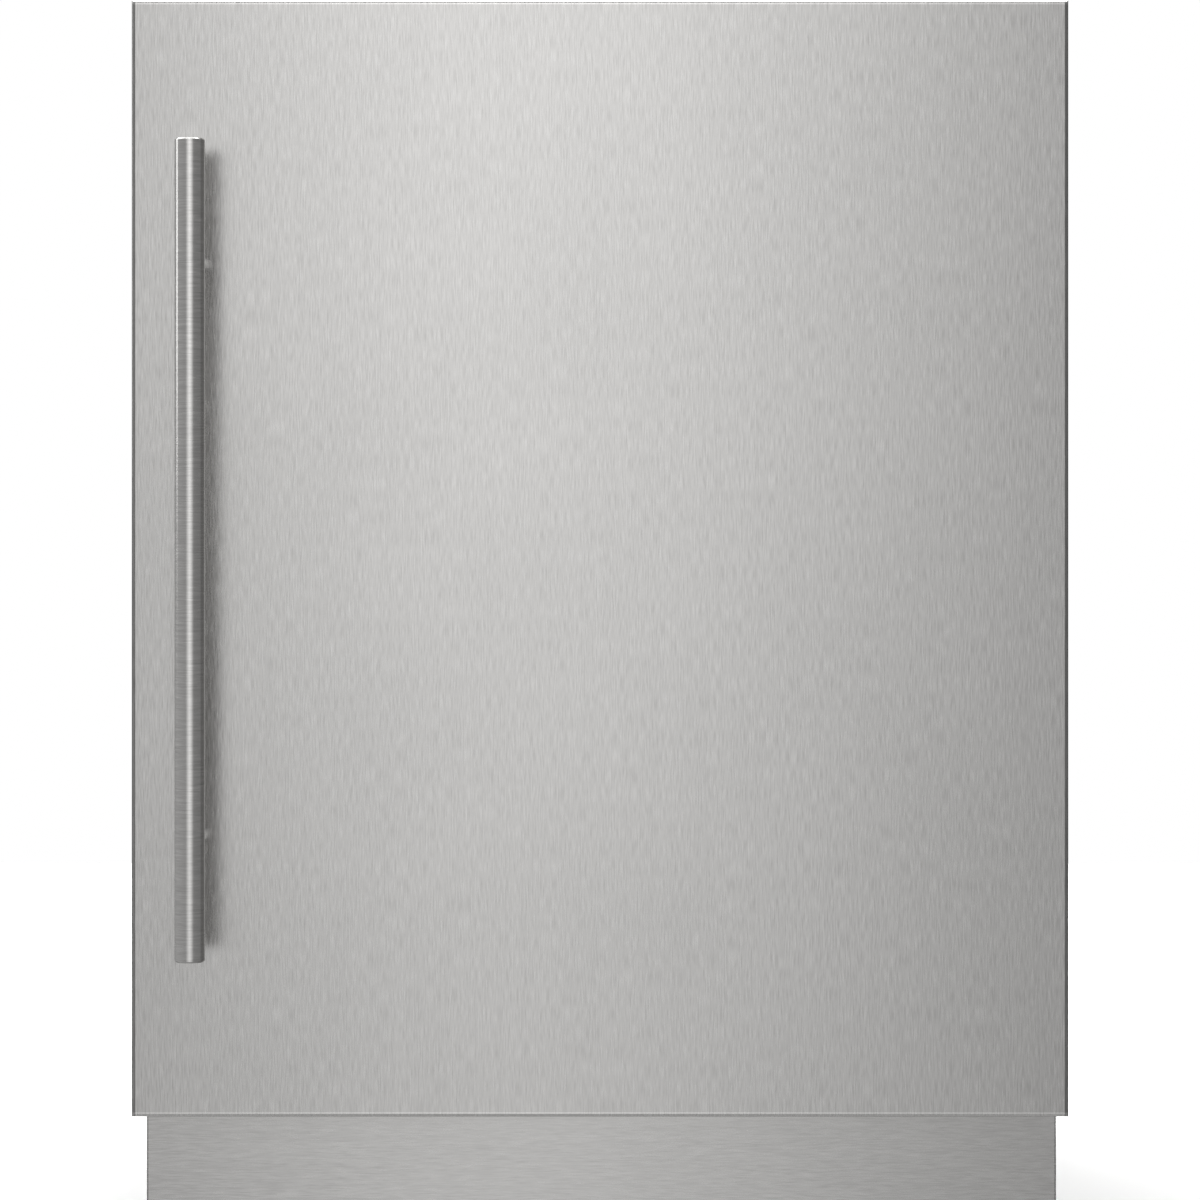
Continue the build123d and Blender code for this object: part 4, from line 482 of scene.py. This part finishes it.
dress(
    moulded("white_liner", (0.86, 0.87, 0.87), 0.30, 600.0, 0.000005),
    "inner_liner", "door_liner", "front_frame", "shelf_ladders", "crisper_rails",
    "evaporator_cover", "control_housing",
)
dress(moulded("grey_trim", (0.42, 0.43, 0.44), 0.38), "upper_shelf_frame", "lower_shelf_frame")
dress(
    moulded("black_moulding", (0.025, 0.025, 0.026), 0.45),
    "evaporator_fan", "evaporator_fan_motor", "condenser_fan", "condenser_fan_motor", "drain_pan",
    "relay_cover", "power_inlet",
)
dress(
    moulded("dark_keys", (0.05, 0.052, 0.055), 0.35),
    "power_button", "warmer_button", "colder_button",
)
dress(
    moulded("foot_nylon", (0.035, 0.035, 0.036), 0.5),
    "leg_front_left", "leg_front_right", "leg_rear_left", "leg_rear_right",
)
dress(moulded("natural_nylon", (0.78, 0.76, 0.68), 0.4), "hinge_bushings")
dress(clear_plastic(), "lower_bin", "upper_bin", "crisper_bin")
dress(shelf_glass(), "upper_shelf_glass", "lower_shelf_glass")
dress(seal_rubber("seal_vinyl", (0.30, 0.305, 0.31), 0.55), "door_gasket")
dress(seal_rubber("black_rubber", (0.02, 0.02, 0.02), 0.7), "compressor_mounts", "drain_tube")


# ---- insulation and backing board ----
# Both are buried. Polyurethane foam is poured between the sheets and the liner and bonds them,
# and the fibreboard stiffens the stainless pan of the door's front.


def rigid_foam():
    """Cream polyurethane with its closed cells."""
    finish = Finish("rigid_foam", (0.86, 0.78, 0.52), roughness=0.85)
    cell = finish.cells((900, 900, 900))["Distance"]
    finish.paint(finish.colours(finish.noise((14, 14, 14)), (0.80, 0.71, 0.44), (0.90, 0.83, 0.60)))
    finish.bump(cell, 0.0003, 0.6)
    return finish


def fibreboard():
    """Moisture resistant board with its pressed fibres."""
    finish = Finish("fibreboard", (0.44, 0.33, 0.21), roughness=0.75)
    fibres = finish.noise((700, 200, 700), detail=5.0)
    finish.paint(finish.colours(fibres, (0.36, 0.26, 0.16), (0.52, 0.40, 0.27)))
    finish.bump(fibres, 0.0001, 0.5)
    return finish


dress(rigid_foam(), "foam_insulation", "door_foam")
dress(fibreboard(), "panel_core")


# ---- cold circuit ----
# The lines and the drier are drawn copper, brazed together. The evaporator and the condenser
# have aluminium fins, and the compressor's can is pressed steel in black enamel.


def mill_aluminium():
    """Rolled fin stock."""
    finish = Finish("fin_stock", (0.76, 0.77, 0.78), metallic=1.0, roughness=0.34)
    finish.paint(finish.colours(finish.noise((90, 90, 90)), (0.68, 0.69, 0.70), (0.80, 0.81, 0.82)))
    finish.roughen(finish.spread(finish.noise((240, 240, 240)), 0.28, 0.44))
    finish.bump(finish.noise((600, 600, 60)), 0.00002, 0.5)
    return finish


def drawn_copper():
    """Copper tube, browned here and there by brazing."""
    finish = Finish("drawn_copper", (0.80, 0.44, 0.28), metallic=1.0, roughness=0.3)
    heat = finish.noise((30, 30, 30), detail=4.0)
    finish.paint(finish.colours(heat, (0.42, 0.20, 0.12), (0.84, 0.48, 0.32), 0.32, 0.55))
    finish.roughen(finish.spread(heat, 0.5, 0.25))
    finish.bump(finish.noise((400, 400, 400)), 0.00002, 0.4)
    return finish


dress(mill_aluminium(), "evaporator_coil", "condenser_coil")
dress(drawn_copper(), "refrigerant_lines", "filter_drier")
dress(powder_coat("black_enamel", (0.02, 0.02, 0.021)), "compressor")


# ---- ceiling light ----
# A moulded opal cover is clipped under the roof, over a strip of small lamps. It scatters their
# light evenly, so the lamps don't show through.


def opal_diffuser():
    """Opal plastic lit from inside."""
    finish = Finish("opal_diffuser", (0.95, 0.95, 0.93), roughness=0.35)
    finish.paint(finish.colours(finish.noise((60, 60, 60)), (0.92, 0.92, 0.90), (0.97, 0.97, 0.95)))
    finish.set("Emission Color", (1.0, 0.97, 0.92, 1))
    finish.set("Emission Strength", 10.0)
    return finish


dress(opal_diffuser(), "light_bar")

# ---- machine cover's louvres ----
# Each slot is lanced and pressed outward into a hood, open along its lower edge, so drips and
# dust run off and the warm air of the condenser leaves downward.
SLOT_W = 0.110
SLOT_H = 0.005
SLOT_PITCH = 0.014
SLOT_ROWS = 9
SLOT_FIRST = 0.050  # above the base of the cabinet
SLOT_X = (-0.195, -0.065, 0.065)
HOOD_PROUD = 0.0028
HOOD_T = 0.0007
HOOD_MARGIN = 0.002  # the hood is wider and higher than its slot by this
cover_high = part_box("machine_cover")[1]
cabinet_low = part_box("outer_wrapper")[0]


def add_piece(name, shape, finish, body, smooth=False):
    """Makes a new piece of a finished bmesh, on a body and with its material slot."""
    bmesh.ops.recalc_face_normals(shape, faces=shape.faces)
    for face in shape.faces:
        face.smooth = smooth
    mesh = bpy.data.meshes.new(name)
    shape.to_mesh(mesh)
    shape.free()
    mesh.materials.append(finish.material)
    piece = bpy.data.objects.new(name, mesh)
    SCENE.collection.objects.link(piece)
    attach(piece, body)
    return piece


def press_hood(shape, x, z):
    """Presses one hood out of a flat blank over the slot at x, z."""
    made = bmesh.ops.create_grid(shape, x_segments=16, y_segments=6, size=1.0)["verts"]
    top = z + SLOT_H / 2 + HOOD_MARGIN
    drop = SLOT_H + HOOD_MARGIN - HOOD_T
    for vert in made:
        along, turn = vert.co.x, math.radians(45 + 45 * vert.co.y)
        swell = 1 - 0.94 * abs(along) ** 9
        vert.co = (
            x + along * (SLOT_W / 2 + HOOD_MARGIN),
            cover_high.y + HOOD_PROUD * swell * math.sin(turn),
            top - drop * (1 - math.cos(turn)),
        )
    blank = sorted({face for vert in made for face in vert.link_faces}, key=lambda f: f.index)
    bmesh.ops.recalc_face_normals(shape, faces=blank)
    if sum(face.normal.y for face in blank) < 0:
        bmesh.ops.reverse_faces(shape, faces=blank)
    bmesh.ops.solidify(shape, geom=blank, thickness=HOOD_T)


hoods = bmesh.new()
for x in SLOT_X:
    for row in range(SLOT_ROWS):
        press_hood(hoods, x, cabinet_low.z + SLOT_FIRST + row * SLOT_PITCH)
hood_coat = powder_coat("hood_coat", (0.36, 0.37, 0.38))
add_piece("louvre_hoods", hoods, hood_coat, "cabinet")

# ---- rear panel's beads ----
# The galvanised back is a thin flat sheet, so a loop and two bars are pressed into it. They
# stop it from drumming against the foam.
BEAD_W = 0.014
BEAD_PROUD = 0.0022
BEAD_MARGIN = 0.058  # from the sheet's edges to the middle of the loop
BEAD_R = 0.034
BEAD_STEPS = 8
back_low, back_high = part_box("rear_panel")
loop_half = back_high.x - BEAD_MARGIN
loop_low, loop_high = back_low.z + BEAD_MARGIN, back_high.z - BEAD_MARGIN


def press_loop(shape):
    """Runs a half-round rib along four straights and four corners."""
    start = Vector((loop_half - BEAD_R, back_high.y, loop_high))
    verts = []
    for k in range(BEAD_STEPS + 1):
        turn = math.pi * k / BEAD_STEPS
        rib = Vector((0, BEAD_PROUD * math.sin(turn), BEAD_W / 2 * math.cos(turn)))
        verts.append(shape.verts.new(start + rib))
    ring = [shape.edges.new((verts[k - 1], verts[k])) for k in range(BEAD_STEPS + 1)]
    straights = (2 * (loop_half - BEAD_R), loop_high - loop_low - 2 * BEAD_R) * 2
    inward, along = Vector((0, 0, -1)), Vector((-1, 0, 0))
    for run in straights:
        made = bmesh.ops.extrude_edge_only(shape, edges=ring)["geom"]
        ends = [item for item in made if isinstance(item, bmesh.types.BMVert)]
        ring = [item for item in made if isinstance(item, bmesh.types.BMEdge)]
        bmesh.ops.translate(shape, verts=ends, vec=along * run)
        ring = [edge for edge in ring if all(vert in ends for vert in edge.verts)]
        middle = sum((vert.co for vert in ends), Vector()) / len(ends)
        centre = Vector((middle.x, 0, middle.z)) + inward * BEAD_R
        ends_middle = (max(v.co @ inward for v in ends) + min(v.co @ inward for v in ends)) / 2
        centre += inward * (ends_middle - Vector((middle.x, 0, middle.z)) @ inward)
        turned_end = bmesh.ops.spin(
            shape, geom=ring + ends, cent=centre, axis=(0, -1, 0), angle=math.pi / 2,
            steps=BEAD_STEPS,
        )["geom_last"]
        ring = [item for item in turned_end if isinstance(item, bmesh.types.BMEdge)]
        inward, along = -along, inward
    bmesh.ops.remove_doubles(shape, verts=shape.verts, dist=0.0002)


def round_block(shape, low, high, bevel, segments):
    """Block between two corners with its edges rounded."""
    middle, span = (Vector(low) + Vector(high)) / 2, Vector(high) - Vector(low)
    verts = bmesh.ops.create_cube(
        shape, size=1.0, matrix=Matrix.Translation(middle) @ Matrix.Diagonal((*span, 1))
    )["verts"]
    edges = {edge for vert in verts for edge in vert.link_edges}
    bmesh.ops.bevel(
        shape, geom=list(edges), offset=bevel, offset_type="OFFSET", segments=segments,
        profile=0.5, affect="EDGES", material=-1, clamp_overlap=True,
    )


beads = bmesh.new()
press_loop(beads)
for share in (1 / 3, 2 / 3):
    level = loop_low + share * (loop_high - loop_low)
    reach = loop_half - 2 * BEAD_R
    low = (-reach, back_high.y - BEAD_PROUD, level - BEAD_W / 2)
    high = (reach, back_high.y + BEAD_PROUD, level + BEAD_W / 2)
    round_block(beads, low, high, BEAD_PROUD * 0.98, 5)
bead_zinc = galvanised("bead_zinc", (0.60, 0.62, 0.64))
add_piece("rear_beads", beads, bead_zinc, "cabinet", True)

# ---- screws of the cover and the hinges ----
# Cold-formed zinc plated screws with a low domed head. Each head has a six-sided socket, forged
# a little deeper than half of the head.
SOCKET_SHARE = 0.46  # of the head's radius
SCREW_STEPS = 36


def solids_of(node):
    """Lowest and highest corners of each separate solid of a node."""
    copy = bmesh.new()
    copy.from_mesh(nodes[node].data)
    bmesh.ops.remove_doubles(copy, verts=copy.verts, dist=0.00002)
    left = set(copy.verts)
    found = []
    while left:
        group, edge = set(), {left.pop()}
        while edge:
            group |= edge
            edge = {e.other_vert(v) for v in edge for e in v.link_edges} - group
        left -= group
        corners = zip(*(vert.co for vert in group))
        spans = [(min(values), max(values)) for values in corners]
        found.append((Vector(span[0] for span in spans), Vector(span[1] for span in spans)))
    copy.free()
    return found


def spin_ring(shape, profile, centre, closed, steps):
    """Spins points of (radius, height) once round an upright axis."""
    verts = [shape.verts.new((centre[0] + r, centre[1], z)) for r, z in profile]
    pairs = list(zip(verts, verts[1:])) + ([(verts[-1], verts[0])] if closed else [])
    edges = [shape.edges.new(pair) for pair in pairs]
    before = set(shape.verts) - set(verts)
    bmesh.ops.spin(
        shape, geom=verts + edges, cent=(*centre, 0), axis=(0, 0, 1), angle=math.tau,
        steps=steps, use_merge=True,
    )
    made = [vert for vert in shape.verts if vert not in before]
    bmesh.ops.remove_doubles(shape, verts=made, dist=0.000001)
    return [vert for vert in shape.verts if vert not in before]


def socket_screw(shape, seat, outward, length, head_r, head_t, shank_r):
    """Screw whose head sits on a point of a sheet and looks outward."""
    socket_r = head_r * SOCKET_SHARE
    profile = (
        (0, -length), (shank_r * 0.7, -length), (shank_r, -length + shank_r * 0.5), (shank_r, 0),
        (head_r * 0.97, 0), (head_r, head_t * 0.15), (head_r, head_t * 0.45),
        (head_r * 0.93, head_t * 0.75), (head_r * 0.78, head_t * 0.94), (head_r * 0.6, head_t),
        (socket_r, head_t), (socket_r * 0.96, head_t * 0.4), (0, head_t * 0.3),
    )
    made = spin_ring(shape, profile, (0, 0), False, SCREW_STEPS)
    for vert in made:
        if vert.co.z > head_t * 0.35 and vert.co.xy.length < socket_r * 1.01:
            turn = math.atan2(vert.co.y, vert.co.x) % (math.pi / 3) - math.pi / 6
            vert.co.xy *= math.cos(math.pi / 6) / math.cos(turn)
    turn = outward.to_track_quat("Z", "Y").to_matrix().to_4x4()
    bmesh.ops.transform(shape, matrix=Matrix.Translation(seat) @ turn, verts=made)


zinc_screw = zinc_plate()
cover_heads = bmesh.new()
for low, high in solids_of("cover_screws"):
    radius = (high.x - low.x) / 2
    seat = Vector(((low.x + high.x) / 2, cover_high.y, (low.z + high.z) / 2))
    reach, head_t = seat.y - low.y, high.y - seat.y
    socket_screw(cover_heads, seat, Vector((0, 1, 0)), reach, radius, head_t, radius * 0.475)
cover_set = add_piece("cover_screw_set", cover_heads, zinc_screw, "cabinet")
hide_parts("cover_screws")

hinge_heads = bmesh.new()
top_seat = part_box("top_hinge_bracket")[1].z
bottom_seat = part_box("bottom_hinge_bracket")[0].z
for low, high in solids_of("hinge_screws"):
    radius = (high.x - low.x) / 2
    upper = high.z > top_seat
    seat = Vector(((low.x + high.x) / 2, (low.y + high.y) / 2, top_seat if upper else bottom_seat))
    parts = (high.z - seat.z, seat.z - low.z)
    head_t, reach = parts if upper else parts[::-1]
    outward = Vector((0, 0, 1 if upper else -1))
    socket_screw(hinge_heads, seat, outward, reach, radius, head_t, radius * 0.55)
hinge_set = add_piece("hinge_screw_set", hinge_heads, zinc_screw, "cabinet")
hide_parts("hinge_screws")

# ---- control display ----
# A smoked lens is snapped into the housing's recess, over two seven-bar figures that glow
# pale blue. It shows only a temperature.
DISPLAY_X = -0.038
DISPLAY_W = 0.070
DISPLAY_H = 0.015
DISPLAY_RECESS = 0.0008
LENS_GAP = 0.0003
LENS_SUNK = 0.0001
FIGURE_T = 0.0002
DIGIT_H = 0.0084
DIGIT_W = 0.0048
DIGIT_PITCH = 0.008
BAR_T = 0.0011
FIGURES = ("abcdg", "abcdefg")  # the bars that are lit
housing_low, housing_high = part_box("control_housing")
display_z = (housing_low.z + housing_high.z) / 2
lens = bmesh.new()
lens_x, lens_z = DISPLAY_W / 2 - LENS_GAP, DISPLAY_H / 2 - LENS_GAP
lens_front, lens_back = housing_low.y + LENS_SUNK, housing_low.y + DISPLAY_RECESS
round_block(
    lens,
    (DISPLAY_X - lens_x, lens_front, display_z - lens_z),
    (DISPLAY_X + lens_x, lens_back, display_z + lens_z),
    LENS_GAP, 3,
)
lens_finish = moulded("smoked_lens", (0.012, 0.013, 0.015), 0.12, 300.0, 0.000002)
add_piece("display_lens", lens, lens_finish, "cabinet")


def glow_finish():
    """Pale blue light behind the lens, a little uneven along each bar."""
    finish = Finish("display_glow", (0.60, 0.82, 0.95), roughness=0.4)
    blues = finish.colours(finish.noise((500, 500, 500)), (0.5, 0.75, 0.92), (0.7, 0.88, 0.98))
    finish.paint(blues)
    finish.set("Emission Color", (0.55, 0.80, 1.0, 1))
    finish.set("Emission Strength", 1.6)
    return finish


def cut_plate(shape, outline, near, far):
    """Plate cut to an outline in X and Z, between two depths."""
    face = shape.faces.new([shape.verts.new((x, far, z)) for x, z in outline])
    made = bmesh.ops.extrude_face_region(shape, geom=[face])["geom"]
    verts = [item for item in made if isinstance(item, bmesh.types.BMVert)]
    bmesh.ops.translate(shape, verts=verts, vec=(0, near - far, 0))


figures = bmesh.new()
for column, lit in enumerate(FIGURES):
    x = DISPLAY_X + (column - 0.5) * DIGIT_PITCH
    half_w, half_h = DIGIT_W / 2, DIGIT_H / 2
    places = {
        "a": (0, half_h), "b": (half_w, half_h / 2), "c": (half_w, -half_h / 2),
        "d": (0, -half_h), "e": (-half_w, -half_h / 2), "f": (-half_w, half_h / 2), "g": (0, 0),
    }
    for bar in lit:
        upright = bar in "bcef"
        half = (DIGIT_H / 2 if upright else DIGIT_W) / 2 - BAR_T / 4
        tip, side = half - BAR_T / 2, BAR_T / 2
        outline = [(-half, 0), (-tip, -side), (tip, -side), (half, 0), (tip, side), (-tip, side)]
        if upright:
            outline = [(-across, along) for along, across in outline]
        dx, dz = places[bar]
        outline = [(x + dx + across, display_z + dz + up) for across, up in outline]
        cut_plate(figures, outline, housing_low.y, housing_low.y + FIGURE_T)
add_piece("display_figures", figures, glow_finish(), "cabinet")

# ---- marks on the keys ----
# Each key has a raised, white filled mark: a ring and bar for power, an arrow up for warmer
# and an arrow down for colder.
MARK_R = 0.0022
MARK_T = 0.0005
MARK_PROUD = 0.00012
MARK_GAP = 70  # degrees of the power ring that stay open
mark_finish = moulded("white_mark", (0.85, 0.86, 0.86), 0.4)


def key_middle(key):
    """Middle of a key's face, and the depths its mark lies between."""
    low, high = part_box(key)
    x, z = (low.x + high.x) / 2, (low.z + high.z) / 2
    return x, z, low.y - MARK_PROUD, low.y + MARK_PROUD


for key, tip in (("warmer_button", 1), ("colder_button", -1)):
    x, z, near, far = key_middle(key)
    foot, point = z - tip * MARK_R / 2, z + tip * MARK_R
    arrow = bmesh.new()
    cut_plate(arrow, [(x - MARK_R, foot), (x + MARK_R, foot), (x, point)], near, far)
    add_piece(f"{key}_mark", arrow, mark_finish, key)

x, z, near, far = key_middle("power_button")
power = bmesh.new()
section = ((MARK_R, near), (MARK_R, far), (MARK_R - MARK_T, far), (MARK_R - MARK_T, near))
end = power.faces.new([power.verts.new((x + r, y, z)) for r, y in section])
bmesh.ops.rotate(
    power, verts=end.verts, cent=(x, near, z),
    matrix=Matrix.Rotation(-math.radians(90 + MARK_GAP / 2), 3, "Y"),
)
bmesh.ops.spin(
    power, geom=[end], cent=(x, near, z), axis=(0, -1, 0), steps=24,
    angle=math.radians(360 - MARK_GAP),
)
left, right, tip = x - MARK_T / 2, x + MARK_T / 2, z + MARK_R
cut_plate(power, [(left, z), (right, z), (right, tip), (left, tip)], near, far)
add_piece("power_button_mark", power, mark_finish, "power_button")

# ---- compressor's seam ----
# The can is two pressed halves. The upper sits over the lower and a weld runs round them,
# which leaves a flange at the waist.
CAN_R = 0.060
SEAM_H = 0.0044
SEAM_SHARE = 0.45  # of the can's height
can_low, can_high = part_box("compressor")
can_middle = ((can_low.x + can_high.x) / 2, (can_low.y + can_high.y) / 2)
seam_z = can_low.z + SEAM_SHARE * (can_high.z - can_low.z)
seam = bmesh.new()
seam_profile = (
    (-0.0010, -0.50), (0.0012, -0.45), (0.0016, -0.14), (0.0006, 0.0),
    (0.0016, 0.14), (0.0012, 0.45), (-0.0010, 0.50),
)
seam_ring = [(CAN_R + out, seam_z + SEAM_H * up) for out, up in seam_profile]
spin_ring(seam, seam_ring, can_middle, True, 72)
seam_enamel = powder_coat("seam_enamel", (0.02, 0.02, 0.021))
add_piece("compressor_seam", seam, seam_enamel, "cabinet")

# ---- treads of the feet ----
# A ribbed rubber tread is moulded round the edge of each nylon foot, so it doesn't mark or
# slide on the floor.
TREAD_FIRST = 0.0022  # above the floor
TREAD_RIB = 0.0012
TREAD_RIBS = 4
TREAD_SUNK = 0.0012
TREAD_VALLEY = 0.0001
TREAD_PEAK = 0.0005
TREAD_STEPS = 64
tread_finish = seal_rubber("tread_rubber", (0.02, 0.02, 0.02), 0.75)
for leg in ("leg_front_left", "leg_front_right", "leg_rear_left", "leg_rear_right"):
    leg_low, leg_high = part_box(leg)
    edge = (leg_high.x - leg_low.x) / 2
    base = leg_low.z + TREAD_FIRST
    profile = [(edge - TREAD_SUNK, base)]
    for rib in range(TREAD_RIBS):
        profile.append((edge + TREAD_VALLEY, base + TREAD_RIB * rib))
        profile.append((edge + TREAD_PEAK, base + TREAD_RIB * (rib + 0.5)))
    profile.append((edge - TREAD_SUNK, base + TREAD_RIB * TREAD_RIBS))
    tread = bmesh.new()
    leg_middle = ((leg_low.x + leg_high.x) / 2, (leg_low.y + leg_high.y) / 2)
    spin_ring(tread, profile, leg_middle, True, TREAD_STEPS)
    add_piece(f"{leg}_tread", tread, tread_finish, leg)
